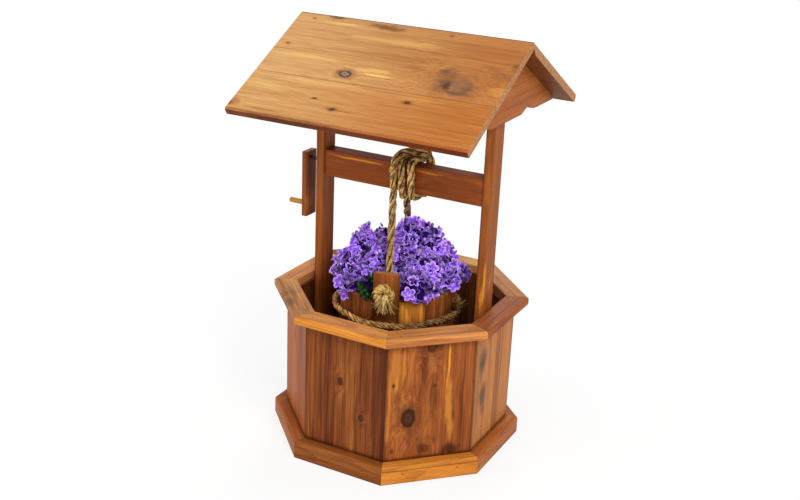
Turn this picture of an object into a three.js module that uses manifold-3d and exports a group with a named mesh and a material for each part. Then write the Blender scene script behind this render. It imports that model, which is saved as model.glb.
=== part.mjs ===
// A wishing well planter in cedar: an octagonal well with a rim and a base trim, two posts that carry
// a crossbeam and a gable roof, a crank on its axle, and a stave bucket of bellflowers on a rope.
// Millimetres, +Z up, +X along the ridge away from the crank, origin on the ground at the well's axis.
import * as THREE from "three";
import { mergeVertices } from "three/addons/utils/BufferGeometryUtils.js";
import Module from "manifold-3d";

const wasm = await Module();
wasm.setup();

// Clearances that every joint in the assembly uses
const seatGap = 0.3;
const runningGap = 0.6;
const overrun = 4;
const weldDistance = 0.0001;

// The well: eight wall panels, mitred at their long edges
const wallSides = 8;
const panelWidth = 184;
const panelThickness = 22;
const wellHeight = 318;
const rimThickness = 19;
const rimWidth = 45;
const rimOverlap = 19;
const rimRound = 5.5;
const rimInnerRound = 2.5;
const trimThickness = 24;
const trimHeight = 39;
const trimRound = 8;
const trimLowerRound = 2.5;
const floorThickness = 19;
const floorBoards = 3;
const floorSlot = 4;

// The posts, the crossbeam and the roof
const postThickness = 20;
const postDepth = 45;
const postRound = 3;
const beamDepth = 38;
const beamHeight = 56;
const beamDrop = 273;
const beamRound = 2;
const roofLength = 505;
const roofSpan = 531;
const roofRidge = 865;
const roofRise = 148;
const roofThickness = 16;
const roofUpperWidth = 184;
const roofRound = 3;
const boardSeam = 0.6;
const gableThickness = 11;
const gableDrop = 9.5;
const gableInset = 29;
const gableFlat = 146;
const gableNotchPeak = 213;
const gableNotchEnd = 300;
const gableNotchRise = 13;
const gableScoopShare = 0.3;

// The crank: an arm on an axle that runs through the left post into the end of the beam
const armThickness = 11;
const armWidth = 38;
const armShare = 0.57927;
const armRound = 2;
const armPivotDrop = 14.5;
const armStandOff = 25;
const axleDiameter = 8;
const axleDepth = 32;
const handleDiameter = 11;
const handleReach = 41;
const handleRise = 24;
const handleSeat = 8;
const dowelRound = 1.5;

// The bucket: flat staves, two of them tall ears for the rope, one rope hoop
const staveCount = 14;
const staveWidth = 54.8;
const staveThickness = 14;
const bucketDrop = 258.5;
const staveHeight = 150;
const staveRound = 2;
const earRise = 59.5;
const earRound = 4;
const earHoleDrop = 37;
const bucketShift = -8;
const bucketTwist = 17.1;
const bucketFloorInset = 8;
const bucketFloorThickness = 12;
const soilDrop = 16;
const soilCrown = 10;
const hoopDiameter = 13;
const hoopDrop = 48;

// The rope: a winding of riding turns on the beam and two falls that are knotted outside the ears
const ropeDiameter = 16;
const windingStartShift = -4;
const windingLandShift = 48;
const windingThirdShift = 35;
const windingBackShift = 24;
const windingSecondShift = 14;
const windingEndShift = -1;
const fallCut = 1.15;
const fallTopDrop = 7;
const ropeBend = 9.5;
const ropeSlack = 0.8;
const rideStartShare = 0.35;
const rideEndShare = 0.45;
const rideRampShare = 0.3;
const knotHeight = 43;
const knotWidth = 45;
const knotDepth = 30;
const tailLength = 26;
const tailDiameter = 42;
const tailShift = 3;

// The planting
const moundRadius = 140;
const moundHeight = 150;
const moundClearance = 1;
const moundEarShare = 1.06;
const bellDiameter = 30;
const bellDepth = 13;
const bellWaistShare = 0.48;
const bellDishShare = 0.4;
const bellLiftShare = 0.45;
const bellCount = 78;
// The tufts: how far across, back and up from the middle of the stave tops, and how wide, as shares
const tuftTable = [
  { across: 0, back: 0, up: 0.2, wide: 0.57 },
  { across: -0.46, back: -0.24, up: 0.61, wide: 0.17 },
  { across: -0.54, back: -0.44, up: 0.29, wide: 0.22 },
  { across: -0.72, back: -0.45, up: 0.17, wide: 0.16 },
  { across: -0.43, back: -0.67, up: 0.07, wide: 0.2 },
  { across: -0.17, back: -0.33, up: 0.33, wide: 0.29 },
  { across: -0.16, back: -0.04, up: 0.47, wide: 0.24 },
  { across: -0.38, back: -0.28, up: 0.45, wide: 0.18 },
  { across: 0.21, back: 0.11, up: 0.65, wide: 0.26 },
  { across: 0.49, back: 0.21, up: 0.73, wide: 0.11 },
  { across: 0.45, back: 0.16, up: 0.46, wide: 0.22 },
  { across: 0.62, back: 0.16, up: 0.36, wide: 0.21 },
  { across: 0.72, back: 0.09, up: 0.17, wide: 0.23 },
  { across: 0.9, back: 0.39, up: 0.28, wide: 0.1 },
  { across: 0.81, back: 0.3, up: 0.19, wide: 0.12 },
  { across: 0.59, back: -0.55, up: 0.2, wide: 0.24 },
  { across: 0.22, back: -0.29, up: 0.21, wide: 0.25 },
  { across: 0.52, back: -0.13, up: 0.27, wide: 0.26 },
  { across: 0.74, back: -0.29, up: 0.09, wide: 0.14 },
  { across: -0.11, back: -0.77, up: 0.1, wide: 0.12 },
  { across: -0.07, back: -0.6, up: 0.13, wide: 0.13 },
  { across: -0.36, back: 0.34, up: 0.32, wide: 0.27 },
  { across: 0.37, back: 0.41, up: 0.32, wide: 0.27 },
  { across: 0.06, back: 0.6, up: 0.2, wide: 0.27 },
  { across: -0.59, back: 0.53, up: 0.12, wide: 0.24 },
  { across: 0.6, back: 0.44, up: 0.12, wide: 0.22 },
  { across: 0, back: 0.29, up: 0.47, wide: 0.24 },
];

// Counts
const arcSteps = 4;
const roundSteps = 24;
const ropeSides = 10;
const windingSides = 6;
const windingSteps = 24;
const fallSteps = 12;
const bendSteps = 3;
const tuftDetail = 2;
const bellPetals = 5;

const quarter = Math.PI / 2;
const wallHalfAngle = Math.PI / wallSides;
const staveHalfAngle = Math.PI / staveCount;
const wallOuter = panelWidth / 2 / Math.tan(wallHalfAngle);
const wallInner = wallOuter - panelThickness;
const wallTop = wellHeight - rimThickness - seatGap;
const rimInner = wallOuter - rimOverlap;
const postOuter = wallInner - seatGap;
const postInner = postOuter - postThickness;
const postCentre = postOuter - postThickness / 2;
const postFoot = floorThickness + seatGap;
const beamTop = roofRidge - beamDrop;
const beamMiddle = beamTop - beamHeight / 2;
const armLength = (beamMiddle - wellHeight) * armShare;
const pitch = Math.atan2(roofRise, roofSpan / 2);
const roofUnder = roofRidge - roofThickness / Math.cos(pitch);
const slopeLength = roofSpan / 2 / Math.cos(pitch);
const staveOuter = staveWidth / 2 / Math.tan(staveHalfAngle);
const staveInner = staveOuter - staveThickness;
const staveCorner = staveOuter / Math.cos(staveHalfAngle);
const staveTop = beamTop - bucketDrop;
const staveFoot = staveTop - staveHeight;
const hoopRadius = staveCorner + seatGap + hoopDiameter / 2;
const hoopHeight = staveTop - hoopDrop;
const earTop = staveTop + earRise;
const earHole = earTop - earHoleDrop;
const ropeRadius = ropeDiameter / 2;
const swayPivot = beamTop - beamHeight - fallTopDrop;

const cedar = (color, roughness = 0.62) => new THREE.MeshStandardMaterial({ color, roughness, metalness: 0 });
const looks = {
  panel: () => cedar(0x7d4524),
  rim: () => cedar(0x9c5e35),
  trim: () => cedar(0x95552c),
  post: () => cedar(0x7a4326),
  roof: () => cedar(0xb06f3c, 0.55),
  gable: () => cedar(0x7b4528),
  crank: () => cedar(0x6f3d22),
  dowel: () => cedar(0xd9b36a, 0.6),
  steel: () => new THREE.MeshStandardMaterial({ color: 0x4a4744, roughness: 0.5, metalness: 0.8 }),
  stave: () => cedar(0x8a4a22),
  rope: () => new THREE.MeshStandardMaterial({ color: 0xa08a5c, roughness: 0.95, metalness: 0 }),
  soil: () => new THREE.MeshStandardMaterial({ color: 0x2e2118, roughness: 1, metalness: 0 }),
  plant: () => new THREE.MeshStandardMaterial({ color: 0x6a55c8, roughness: 0.8, metalness: 0 }),
};

const model = new THREE.Group();

function addPiece(parent, name, geometry, material) {
  const piece = new THREE.Mesh(geometry, material);
  piece.name = name;
  parent.add(piece);
  return piece;
}

function toSolid(geometry) {
  const bare = geometry.clone();
  bare.deleteAttribute("normal");
  bare.deleteAttribute("uv");
  const merged = mergeVertices(bare.index ? bare.toNonIndexed() : bare, weldDistance);
  const vertProperties = new Float32Array(merged.attributes.position.array);
  const triVerts = new Uint32Array(merged.index.array);
  return new wasm.Manifold(new wasm.Mesh({ numProp: 3, vertProperties, triVerts }));
}

function fromSolid(solid) {
  const { vertProperties, triVerts } = solid.getMesh();
  const geometry = new THREE.BufferGeometry();
  geometry.setAttribute("position", new THREE.BufferAttribute(new Float32Array(vertProperties), 3));
  geometry.setIndex(new THREE.BufferAttribute(new Uint32Array(triVerts), 1));
  return geometry;
}

// The largest closed shell of a geometry, without the pockets and crumbs that bells leave where they cross
function outerShell(geometry) {
  const corners = [...geometry.index.array];
  const owners = corners.map((corner, i) => i);
  const shellOf = (corner) => {
    let at = corner;
    while (owners[at] !== at) at = owners[at];
    return at;
  };
  for (let i = 0; i < corners.length; i += 3) {
    const shell = shellOf(corners[i]);
    owners[shellOf(corners[i + 1])] = shell;
    owners[shellOf(corners[i + 2])] = shell;
  }
  const sizes = new Map();
  for (const corner of corners) sizes.set(shellOf(corner), (sizes.get(shellOf(corner)) ?? 0) + 1);
  const [largest] = [...sizes].reduce((best, entry) => (entry[1] > best[1] ? entry : best));
  geometry.setIndex(corners.filter((corner) => shellOf(corner) === largest));
  return mergeVertices(geometry.toNonIndexed());
}

// A rectangle with a rounding of its own at each corner: lower left, lower right, upper right, upper left
function roundedOutline(left, bottom, right, top, rounds) {
  const [lowerLeft, lowerRight, upperRight, upperLeft] = rounds;
  const outline = new THREE.Shape();
  outline.moveTo(left + lowerLeft, bottom);
  outline.lineTo(right - lowerRight, bottom);
  if (lowerRight) outline.absarc(right - lowerRight, bottom + lowerRight, lowerRight, -quarter, 0);
  outline.lineTo(right, top - upperRight);
  if (upperRight) outline.absarc(right - upperRight, top - upperRight, upperRight, 0, quarter);
  outline.lineTo(left + upperLeft, top);
  if (upperLeft) outline.absarc(left + upperLeft, top - upperLeft, upperLeft, quarter, 2 * quarter);
  outline.lineTo(left, bottom + lowerLeft);
  if (lowerLeft) outline.absarc(left + lowerLeft, bottom + lowerLeft, lowerLeft, 2 * quarter, 3 * quarter);
  return outline;
}

function extrude(outline, depth) {
  return new THREE.ExtrudeGeometry(outline, { depth, bevelEnabled: false, curveSegments: arcSteps });
}

// A board whose cross-section lies in the plane of radius and height, with both ends mitred
function mitredBoard(section, halfAngle) {
  const geometry = extrude(section, 1);
  const place = geometry.attributes.position;
  const endGap = seatGap / 2 / Math.cos(halfAngle);
  for (let i = 0; i < place.count; i += 1) {
    const radius = place.getX(i);
    const height = place.getY(i);
    const side = 1 - 2 * place.getZ(i);
    place.setXYZ(i, radius, side * (radius * Math.tan(halfAngle) - endGap), height);
  }
  return geometry;
}

// A section in Y and Z, run along X from one place to another
function alongX(outline, from, to) {
  const geometry = extrude(outline, to - from);
  const basis = new THREE.Matrix4().makeBasis(
    new THREE.Vector3(0, 1, 0),
    new THREE.Vector3(0, 0, 1),
    new THREE.Vector3(1, 0, 0),
  );
  geometry.applyMatrix4(basis.setPosition(from, 0, 0));
  return geometry;
}

function rodAlongX(diameter, from, to, y, z, round = 0) {
  const radius = diameter / 2;
  const profile = [
    new THREE.Vector2(0, 0),
    new THREE.Vector2(radius - round, 0),
    new THREE.Vector2(radius, round),
    new THREE.Vector2(radius, to - from - round),
    new THREE.Vector2(radius - round, to - from),
    new THREE.Vector2(0, to - from),
  ];
  const corners = round ? profile : profile.filter((point, i) => i !== 2 && i !== 4);
  const geometry = new THREE.LatheGeometry(corners, roundSteps);
  geometry.rotateZ(-quarter);
  geometry.translate(from, y, z);
  return geometry;
}

// A bore is drawn a little wider than its rod, so that the flats of both clear each other
function boreAlongX(diameter, clearance, from, to, y, z) {
  const width = (diameter + 2 * clearance) / Math.cos(Math.PI / roundSteps);
  return toSolid(rodAlongX(width, from, to, y, z));
}

function buildWell() {
  const well = new THREE.Group();
  const panel = roundedOutline(wallInner, 0, wallOuter, wallTop, [0, 0, 0, 0]);
  const rimOuter = rimInner + rimWidth;
  const rimRounds = [rimInnerRound, rimRound, rimRound, rimInnerRound];
  const rim = roundedOutline(rimInner, wellHeight - rimThickness, rimOuter, wellHeight, rimRounds);
  const trimStart = wallOuter + seatGap;
  const trimRounds = [0, trimLowerRound, trimRound, 0];
  const trim = roundedOutline(trimStart, 0, wallOuter + trimThickness, trimHeight, trimRounds);
  for (let side = 0; side < wallSides; side += 1) {
    const turn = (side * 2 - 2) * wallHalfAngle;
    const number = side + 1;
    for (const [name, outline, look] of [
      ["wall_panel", panel, looks.panel],
      ["rim_board", rim, looks.rim],
      ["base_trim", trim, looks.trim],
    ]) {
      addPiece(well, `${name}_${number}`, mitredBoard(outline, wallHalfAngle), look()).rotation.z = turn;
    }
  }
  return well;
}

// Floor boards run along X, and are cut to the octagon inside the walls
function buildFloor() {
  const floor = new THREE.Group();
  const reach = wallInner - seatGap;
  const corner = reach / Math.cos(wallHalfAngle);
  const octagon = new THREE.Shape();
  for (let side = 0; side < wallSides; side += 1) {
    const turn = (side * 2 + 1) * wallHalfAngle;
    const point = [corner * Math.cos(turn), corner * Math.sin(turn)];
    if (side) octagon.lineTo(...point);
    else octagon.moveTo(...point);
  }
  const sheet = toSolid(extrude(octagon, floorThickness));
  const pitchWidth = (2 * reach + floorSlot) / floorBoards;
  for (let row = 0; row < floorBoards; row += 1) {
    const front = -reach + row * pitchWidth;
    const strip = roundedOutline(-corner, front, corner, front + pitchWidth - floorSlot, [0, 0, 0, 0]);
    const board = toSolid(extrude(strip, floorThickness)).intersect(sheet);
    addPiece(floor, `floor_board_${row + 1}`, fromSolid(board), looks.panel());
  }
  return floor;
}

// The space below the roof boards, as a long prism that the post tops are cut to
function spaceUnderRoof() {
  const half = roofSpan / 2;
  const peak = roofUnder - seatGap;
  const outline = new THREE.Shape();
  outline.moveTo(-half, 0);
  outline.lineTo(half, 0);
  outline.lineTo(half, peak - half * Math.tan(pitch));
  outline.lineTo(0, peak);
  outline.lineTo(-half, peak - half * Math.tan(pitch));
  return toSolid(alongX(outline, -roofLength / 2, roofLength / 2));
}

function buildPosts() {
  const frame = new THREE.Group();
  const halfDepth = postDepth / 2;
  const rounds = [postRound, postRound, postRound, postRound];
  const section = roundedOutline(-postThickness / 2, -halfDepth, postThickness / 2, halfDepth, rounds);
  const underRoof = spaceUnderRoof();
  const boreStart = -postOuter - overrun;
  const boreEnd = -postInner + overrun;
  const bore = boreAlongX(axleDiameter, runningGap, boreStart, boreEnd, 0, beamMiddle);
  for (const [name, side] of [["post_left", -1], ["post_right", 1]]) {
    const blank = extrude(section, roofRidge - postFoot);
    blank.translate(side * postCentre, 0, postFoot);
    const cut = toSolid(blank).intersect(underRoof);
    const post = side < 0 ? cut.subtract(bore) : cut;
    addPiece(frame, name, fromSolid(post), looks.post());
  }
  const end = postInner - seatGap;
  const beamRounds = [beamRound, beamRound, beamRound, beamRound];
  const halfBeam = beamDepth / 2;
  const beamSection = roundedOutline(-halfBeam, beamTop - beamHeight, halfBeam, beamTop, beamRounds);
  const socket = boreAlongX(axleDiameter, runningGap, -end - overrun, -end + axleDepth, 0, beamMiddle);
  const beam = toSolid(alongX(beamSection, -end, end)).subtract(socket);
  addPiece(frame, "crossbeam", fromSolid(beam), looks.post());
  return frame;
}

// One slope of the roof, drawn across the boards: distance down from the ridge, and depth below the face
function slopeBoard(outline, side) {
  const down = new THREE.Vector3(0, side * Math.cos(pitch), -Math.sin(pitch));
  const out = new THREE.Vector3(0, side * Math.sin(pitch), Math.cos(pitch));
  const along = new THREE.Vector3(side, 0, 0);
  const geometry = extrude(outline, roofLength);
  const basis = new THREE.Matrix4().makeBasis(down, out, along);
  geometry.applyMatrix4(basis.setPosition(-side * roofLength / 2, 0, roofRidge));
  return geometry;
}

function buildRoof() {
  const roof = new THREE.Group();
  const lowerStart = roofUpperWidth + boardSeam;
  const upperRounds = [0, roofRound, roofRound, roofRound];
  const lowerRounds = [roofRound, roofRound, roofRound, roofRound];
  const frontUpper = roundedOutline(0, -roofThickness, roofUpperWidth, 0, upperRounds);
  const lower = roundedOutline(lowerStart, -roofThickness, slopeLength, 0, lowerRounds);
  // The back upper board is bevelled, so that it butts against the square top edge of the front one
  const bevel = roofThickness * Math.tan(2 * pitch);
  const start = seatGap / Math.cos(2 * pitch);
  const backUpper = new THREE.Shape();
  backUpper.moveTo(start, 0);
  backUpper.lineTo(start + bevel, -roofThickness);
  backUpper.lineTo(roofUpperWidth, -roofThickness);
  backUpper.lineTo(roofUpperWidth, -roofRound);
  backUpper.absarc(roofUpperWidth - roofRound, -roofRound, roofRound, 0, quarter);
  addPiece(roof, "roof_front_upper", slopeBoard(frontUpper, -1), looks.roof());
  addPiece(roof, "roof_front_lower", slopeBoard(lower, -1), looks.roof());
  addPiece(roof, "roof_back_upper", slopeBoard(backUpper, 1), looks.roof());
  addPiece(roof, "roof_back_lower", slopeBoard(lower, 1), looks.roof());
  return roof;
}

// The gable board: a flat middle over the post, then a notch and a scooped shoulder on each side
function gableOutline() {
  const half = roofSpan / 2 - gableInset;
  const gableBottom = roofRidge - roofRise - gableDrop;
  const peak = roofUnder - seatGap;
  const shoulder = peak - half * Math.tan(pitch);
  const notch = gableBottom + gableNotchRise;
  const scoop = gableNotchPeak + (gableNotchEnd - gableNotchPeak) * gableScoopShare;
  const outline = new THREE.Shape();
  outline.moveTo(-half, gableBottom);
  outline.lineTo(-gableNotchEnd / 2, gableBottom);
  outline.quadraticCurveTo(-scoop / 2, gableBottom, -gableNotchPeak / 2, notch);
  outline.lineTo(-gableFlat / 2, gableBottom);
  outline.lineTo(gableFlat / 2, gableBottom);
  outline.lineTo(gableNotchPeak / 2, notch);
  outline.quadraticCurveTo(scoop / 2, gableBottom, gableNotchEnd / 2, gableBottom);
  outline.lineTo(half, gableBottom);
  outline.lineTo(half, shoulder);
  outline.lineTo(0, peak);
  outline.lineTo(-half, shoulder);
  return outline;
}

function buildGables() {
  const gables = new THREE.Group();
  const inner = postOuter + seatGap;
  const outer = inner + gableThickness;
  addPiece(gables, "gable_left", alongX(gableOutline(), -outer, -inner), looks.gable());
  addPiece(gables, "gable_right", alongX(gableOutline(), inner, outer), looks.gable());
  return gables;
}

function buildCrank() {
  const crank = new THREE.Group();
  const inner = -postOuter - armStandOff;
  const outer = inner - armThickness;
  const top = beamMiddle + armPivotDrop;
  const bottom = top - armLength;
  const gripHeight = bottom + handleRise;
  const rounds = [armRound, armRound, armRound, armRound];
  const section = roundedOutline(-armWidth / 2, bottom, armWidth / 2, top, rounds);
  const pivotHole = boreAlongX(axleDiameter, seatGap, outer - overrun, inner + overrun, 0, beamMiddle);
  const gripEnd = outer + handleSeat;
  const gripHole = boreAlongX(handleDiameter, seatGap, outer - overrun, gripEnd + seatGap, 0, gripHeight);
  const arm = toSolid(alongX(section, outer, inner)).subtract(pivotHole).subtract(gripHole);
  const axleEnd = -postInner + seatGap + axleDepth - runningGap;
  addPiece(crank, "crank_arm", fromSolid(arm), looks.crank());
  addPiece(crank, "crank_axle", rodAlongX(axleDiameter, outer, axleEnd, 0, beamMiddle), looks.steel());
  const grip = rodAlongX(handleDiameter, outer - handleReach, gripEnd, 0, gripHeight, dowelRound);
  addPiece(crank, "crank_handle", grip, looks.dowel());
  return crank;
}

// Directions to the front and back ears, seen from above
const earTurns = { front: THREE.MathUtils.degToRad(bucketTwist) - quarter };
earTurns.back = earTurns.front + Math.PI;

function buildBucket() {
  const bucket = new THREE.Group();
  bucket.position.x = bucketShift;
  const topRounds = [staveRound, staveRound, staveRound, staveRound];
  const stave = roundedOutline(staveInner, staveFoot, staveOuter, staveTop, topRounds);
  const earRounds = [staveRound, staveRound, earRound, earRound];
  const ear = roundedOutline(staveInner, staveFoot, staveOuter, earTop, earRounds);
  const hole = boreAlongX(ropeDiameter, seatGap, staveInner - overrun, staveOuter + overrun, 0, earHole);
  let number = 1;
  for (let i = 0; i < staveCount; i += 1) {
    const turn = earTurns.front + 2 * i * staveHalfAngle;
    if (i === 0 || i === staveCount / 2) {
      const name = i ? "bucket_ear_back" : "bucket_ear_front";
      const pierced = toSolid(mitredBoard(ear, staveHalfAngle)).subtract(hole);
      addPiece(bucket, name, fromSolid(pierced), looks.stave()).rotation.z = turn;
    } else {
      const name = `bucket_stave_${number}`;
      number += 1;
      addPiece(bucket, name, mitredBoard(stave, staveHalfAngle), looks.stave()).rotation.z = turn;
    }
  }
  const bottomHeight = staveFoot + bucketFloorInset;
  const insetShare = Math.cos(staveHalfAngle);
  const discRadius = (staveInner - seatGap) / insetShare;
  const disc = new THREE.CylinderGeometry(discRadius, discRadius, bucketFloorThickness, staveCount);
  disc.rotateX(quarter);
  disc.rotateZ(staveHalfAngle + quarter);
  disc.translate(0, 0, bottomHeight + bucketFloorThickness / 2);
  addPiece(bucket, "bucket_bottom", disc, looks.stave()).rotation.z = earTurns.front;
  const soilFoot = bottomHeight + bucketFloorThickness + seatGap;
  const soilTop = staveTop - soilDrop;
  const soilRadius = staveInner - seatGap;
  const soilProfile = [
    new THREE.Vector2(0, soilFoot),
    new THREE.Vector2(soilRadius, soilFoot),
    new THREE.Vector2(soilRadius, soilTop - soilCrown),
    new THREE.Vector2(soilRadius / 2, soilTop - soilCrown / 4),
    new THREE.Vector2(0, soilTop),
  ];
  const soil = new THREE.LatheGeometry(soilProfile, roundSteps);
  soil.rotateX(quarter);
  addPiece(bucket, "soil", soil, looks.soil());
  const hoop = new THREE.TorusGeometry(hoopRadius, hoopDiameter / 2, ropeSides, 2 * roundSteps);
  hoop.translate(0, 0, hoopHeight);
  addPiece(bucket, "bucket_hoop", hoop, looks.rope());
  return bucket;
}

// A closed tube through a list of points; the first corner of each ring looks along that ring's normal
function ropeTube(points, normals, sides, diameter) {
  const vertices = [];
  const faces = [];
  const last = points.length - 1;
  points.forEach((point, i) => {
    const ahead = points[Math.min(i + 1, last)];
    const behind = points[Math.max(i - 1, 0)];
    const along = new THREE.Vector3().subVectors(ahead, behind).normalize();
    const across = new THREE.Vector3().crossVectors(along, normals[i]).normalize();
    const up = new THREE.Vector3().crossVectors(across, along);
    for (let side = 0; side < sides; side += 1) {
      const turn = 2 * Math.PI * side / sides;
      const corner = point.clone();
      corner.addScaledVector(up, diameter / 2 * Math.cos(turn));
      corner.addScaledVector(across, diameter / 2 * Math.sin(turn));
      vertices.push(corner.x, corner.y, corner.z);
    }
  });
  for (let i = 0; i < last; i += 1) {
    for (let side = 0; side < sides; side += 1) {
      const here = i * sides + side;
      const next = i * sides + (side + 1) % sides;
      faces.push(here, next, here + sides, next, next + sides, here + sides);
    }
  }
  const end = last * sides;
  for (let side = 1; side < sides - 1; side += 1) {
    faces.push(0, side + 1, side);
    faces.push(end, end + side, end + side + 1);
  }
  const geometry = new THREE.BufferGeometry();
  geometry.setAttribute("position", new THREE.BufferAttribute(new Float32Array(vertices), 3));
  geometry.setIndex(faces);
  return geometry;
}

const smooth = (share) => THREE.MathUtils.smoothstep(share, 0, 1);

// The closed way round the beam's section at the rope's middle, from the lower front corner upwards
const wrapOffset = ropeRadius + seatGap;
const wrapArc = quarter * wrapOffset;
const wrapSides = [beamHeight, beamDepth, beamHeight, beamDepth];
const wrapLength = 2 * (beamHeight + beamDepth) + 4 * wrapArc;

function wrapPlace(way, lift) {
  let rest = way;
  const corners = [
    [-beamDepth / 2, beamTop - beamHeight],
    [-beamDepth / 2, beamTop],
    [beamDepth / 2, beamTop],
    [beamDepth / 2, beamTop - beamHeight],
  ];
  for (let side = 0; side < corners.length; side += 1) {
    const heading = quarter - side * quarter;
    const outward = heading + quarter;
    const face = wrapSides[side];
    const [y, z] = corners[side];
    if (rest <= face) {
      const normal = new THREE.Vector3(0, Math.cos(outward), Math.sin(outward));
      const place = new THREE.Vector3(0, y + rest * Math.cos(heading), z + rest * Math.sin(heading));
      return { place: place.addScaledVector(normal, wrapOffset + lift), normal };
    }
    rest -= face;
    const [cornerY, cornerZ] = corners[(side + 1) % corners.length];
    if (rest <= wrapArc) {
      const turned = outward - rest / wrapOffset;
      const normal = new THREE.Vector3(0, Math.cos(turned), Math.sin(turned));
      const place = new THREE.Vector3(0, cornerY, cornerZ);
      return { place: place.addScaledVector(normal, wrapOffset + lift), normal };
    }
    rest -= wrapArc;
  }
  return wrapPlace(0, lift);
}

// Where the rope lies along the beam each time that it passes the middle of a face, front and back in turn
const windingStations = [
  windingStartShift,
  windingLandShift,
  windingThirdShift,
  windingBackShift,
  windingSecondShift,
  windingEndShift,
].map((shift) => bucketShift + shift);

// Steps round one turn: each corner takes three, and each face shares out the rest
function windingWays() {
  const cornerSteps = 3;
  const faceSteps = windingSteps / wrapSides.length - cornerSteps;
  const ways = [];
  const faces = 2 * windingStations.length - 1;
  let way = 0;
  for (let side = 0; side < faces; side += 1) {
    const face = wrapSides[side % wrapSides.length];
    for (let step = 0; step < faceSteps; step += 1) ways.push(way + face * step / faceSteps);
    way += face;
    if (side < faces - 1) {
      for (let step = 0; step < cornerSteps; step += 1) ways.push(way + wrapArc * step / cornerSteps);
      way += wrapArc;
    }
  }
  ways.push(way);
  return ways;
}

function windingRoute() {
  const half = wrapLength / 2;
  const first = beamHeight / 2;
  const rideStart = beamHeight * rideStartShare;
  const rideEnd = beamHeight + 2 * wrapArc + beamDepth + beamHeight * rideEndShare;
  const points = [];
  const normals = [];
  for (const way of windingWays()) {
    const share = THREE.MathUtils.clamp((way - first) / half, 0, windingStations.length - 1);
    const station = Math.min(Math.floor(share), windingStations.length - 2);
    const from = windingStations[station];
    const to = windingStations[station + 1];
    const ramp = (rideEnd - rideStart) * rideRampShare;
    const rise = smooth((way - rideStart) / ramp) * smooth((rideEnd - way) / ramp);
    const { place, normal } = wrapPlace(way % wrapLength, rise * (ropeDiameter + ropeSlack));
    place.x = from + (to - from) * smooth(share - station);
    points.push(place);
    normals.push(normal.negate());
  }
  const front = points[0].clone();
  const back = points[points.length - 1].clone();
  front.z = swayPivot + fallCut / 2;
  back.z = front.z;
  points.unshift(front);
  points.push(back);
  normals.unshift(normals[0].clone());
  normals.push(normals[normals.length - 1].clone());
  return { points, normals };
}

// The least clearance of a tube to itself, measured between points that lie over two diameters apart
function leastSelfGap(points, diameter) {
  const curve = new THREE.CatmullRomCurve3(points, false, "centripetal");
  const fine = curve.getSpacedPoints(points.length * arcSteps);
  const step = curve.getLength() / fine.length;
  const apart = Math.ceil(2 * diameter / step);
  let least = Infinity;
  for (let i = 0; i < fine.length; i += 1) {
    for (let j = i + apart; j < fine.length; j += 1) {
      least = Math.min(least, fine[i].distanceTo(fine[j]) - diameter);
    }
  }
  return least;
}

function buildWinding() {
  const { points, normals } = windingRoute();
  console.log(`rope winding, least gap to itself: ${leastSelfGap(points, ropeDiameter).toFixed(2)} mm`);
  const winding = new THREE.Group();
  addPiece(winding, "rope_winding", ropeTube(points, normals, windingSides, ropeDiameter), looks.rope());
  return winding;
}

// A fall of rope, from just under the winding to an ear, through its hole and into the knot outside
function fallRoute(side) {
  const turn = side < 0 ? earTurns.front : earTurns.back;
  const outward = new THREE.Vector3(Math.cos(turn), Math.sin(turn), 0);
  const atEar = (radius, height) => outward.clone().multiplyScalar(radius).setZ(height);
  const start = side < 0 ? windingStartShift : windingEndShift;
  const bendRadius = staveInner - seatGap;
  const inside = bendRadius - ropeBend;
  const top = new THREE.Vector3(start, side * (beamDepth / 2 + wrapOffset), swayPivot - fallCut / 2);
  const curve = new THREE.CatmullRomCurve3([
    top,
    top.clone().setZ(top.z - ropeDiameter),
    top.clone().add(atEar(inside, earTop)).divideScalar(2),
    atEar(inside - seatGap, earTop),
    atEar(inside, earHole + ropeBend + ropeRadius),
  ], false, "centripetal");
  const points = curve.getSpacedPoints(fallSteps);
  for (let step = 0; step <= bendSteps; step += 1) {
    const bent = quarter * step / bendSteps;
    const rise = earHole + ropeBend * (1 - Math.sin(bent));
    points.push(atEar(bendRadius - ropeBend * Math.cos(bent), rise));
  }
  points.push(atEar(staveOuter + knotDepth / 2, earHole));
  const across = new THREE.Vector3(-outward.y, outward.x, 0);
  return { points, normals: points.map(() => across), outward };
}

// The stopper knot outside an ear, with the rope's end hanging from it
function knotBody(outward) {
  const middle = staveOuter + seatGap + knotDepth / 2;
  const core = new THREE.SphereGeometry(1, roundSteps / 2, roundSteps / 2);
  core.scale(knotDepth / 2, knotWidth / 2, knotHeight / 2);
  core.translate(middle, 0, earHole);
  const tailFoot = earHole - knotHeight / 2 - tailLength;
  const tailTop = earHole;
  const tail = new THREE.CylinderGeometry(ropeRadius, tailDiameter / 2, tailTop - tailFoot, roundSteps / 2);
  tail.rotateX(quarter);
  tail.scale(knotDepth / tailDiameter, 1, 1);
  tail.translate(middle, tailShift, (tailTop + tailFoot) / 2);
  const turn = Math.atan2(outward.y, outward.x);
  core.rotateZ(turn);
  tail.rotateZ(turn);
  return toSolid(core).add(toSolid(tail));
}

function fallBody(side) {
  const { points, normals, outward } = fallRoute(side);
  return toSolid(ropeTube(points, normals, ropeSides, ropeDiameter)).add(knotBody(outward));
}

function buildFalls() {
  const falls = new THREE.Group();
  falls.position.x = bucketShift;
  addPiece(falls, "rope_front", fromSolid(fallBody(-1)), looks.rope());
  addPiece(falls, "rope_back", fromSolid(fallBody(1)), looks.rope());
  return falls;
}

// Tufts of the plant, as balls that lean over the staves
function tufts() {
  return tuftTable.map(({ across, back, up, wide }) => ({
    middle: new THREE.Vector3(moundRadius * across, moundRadius * back, staveTop + moundHeight * up),
    radius: moundRadius * wide,
  }));
}

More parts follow.
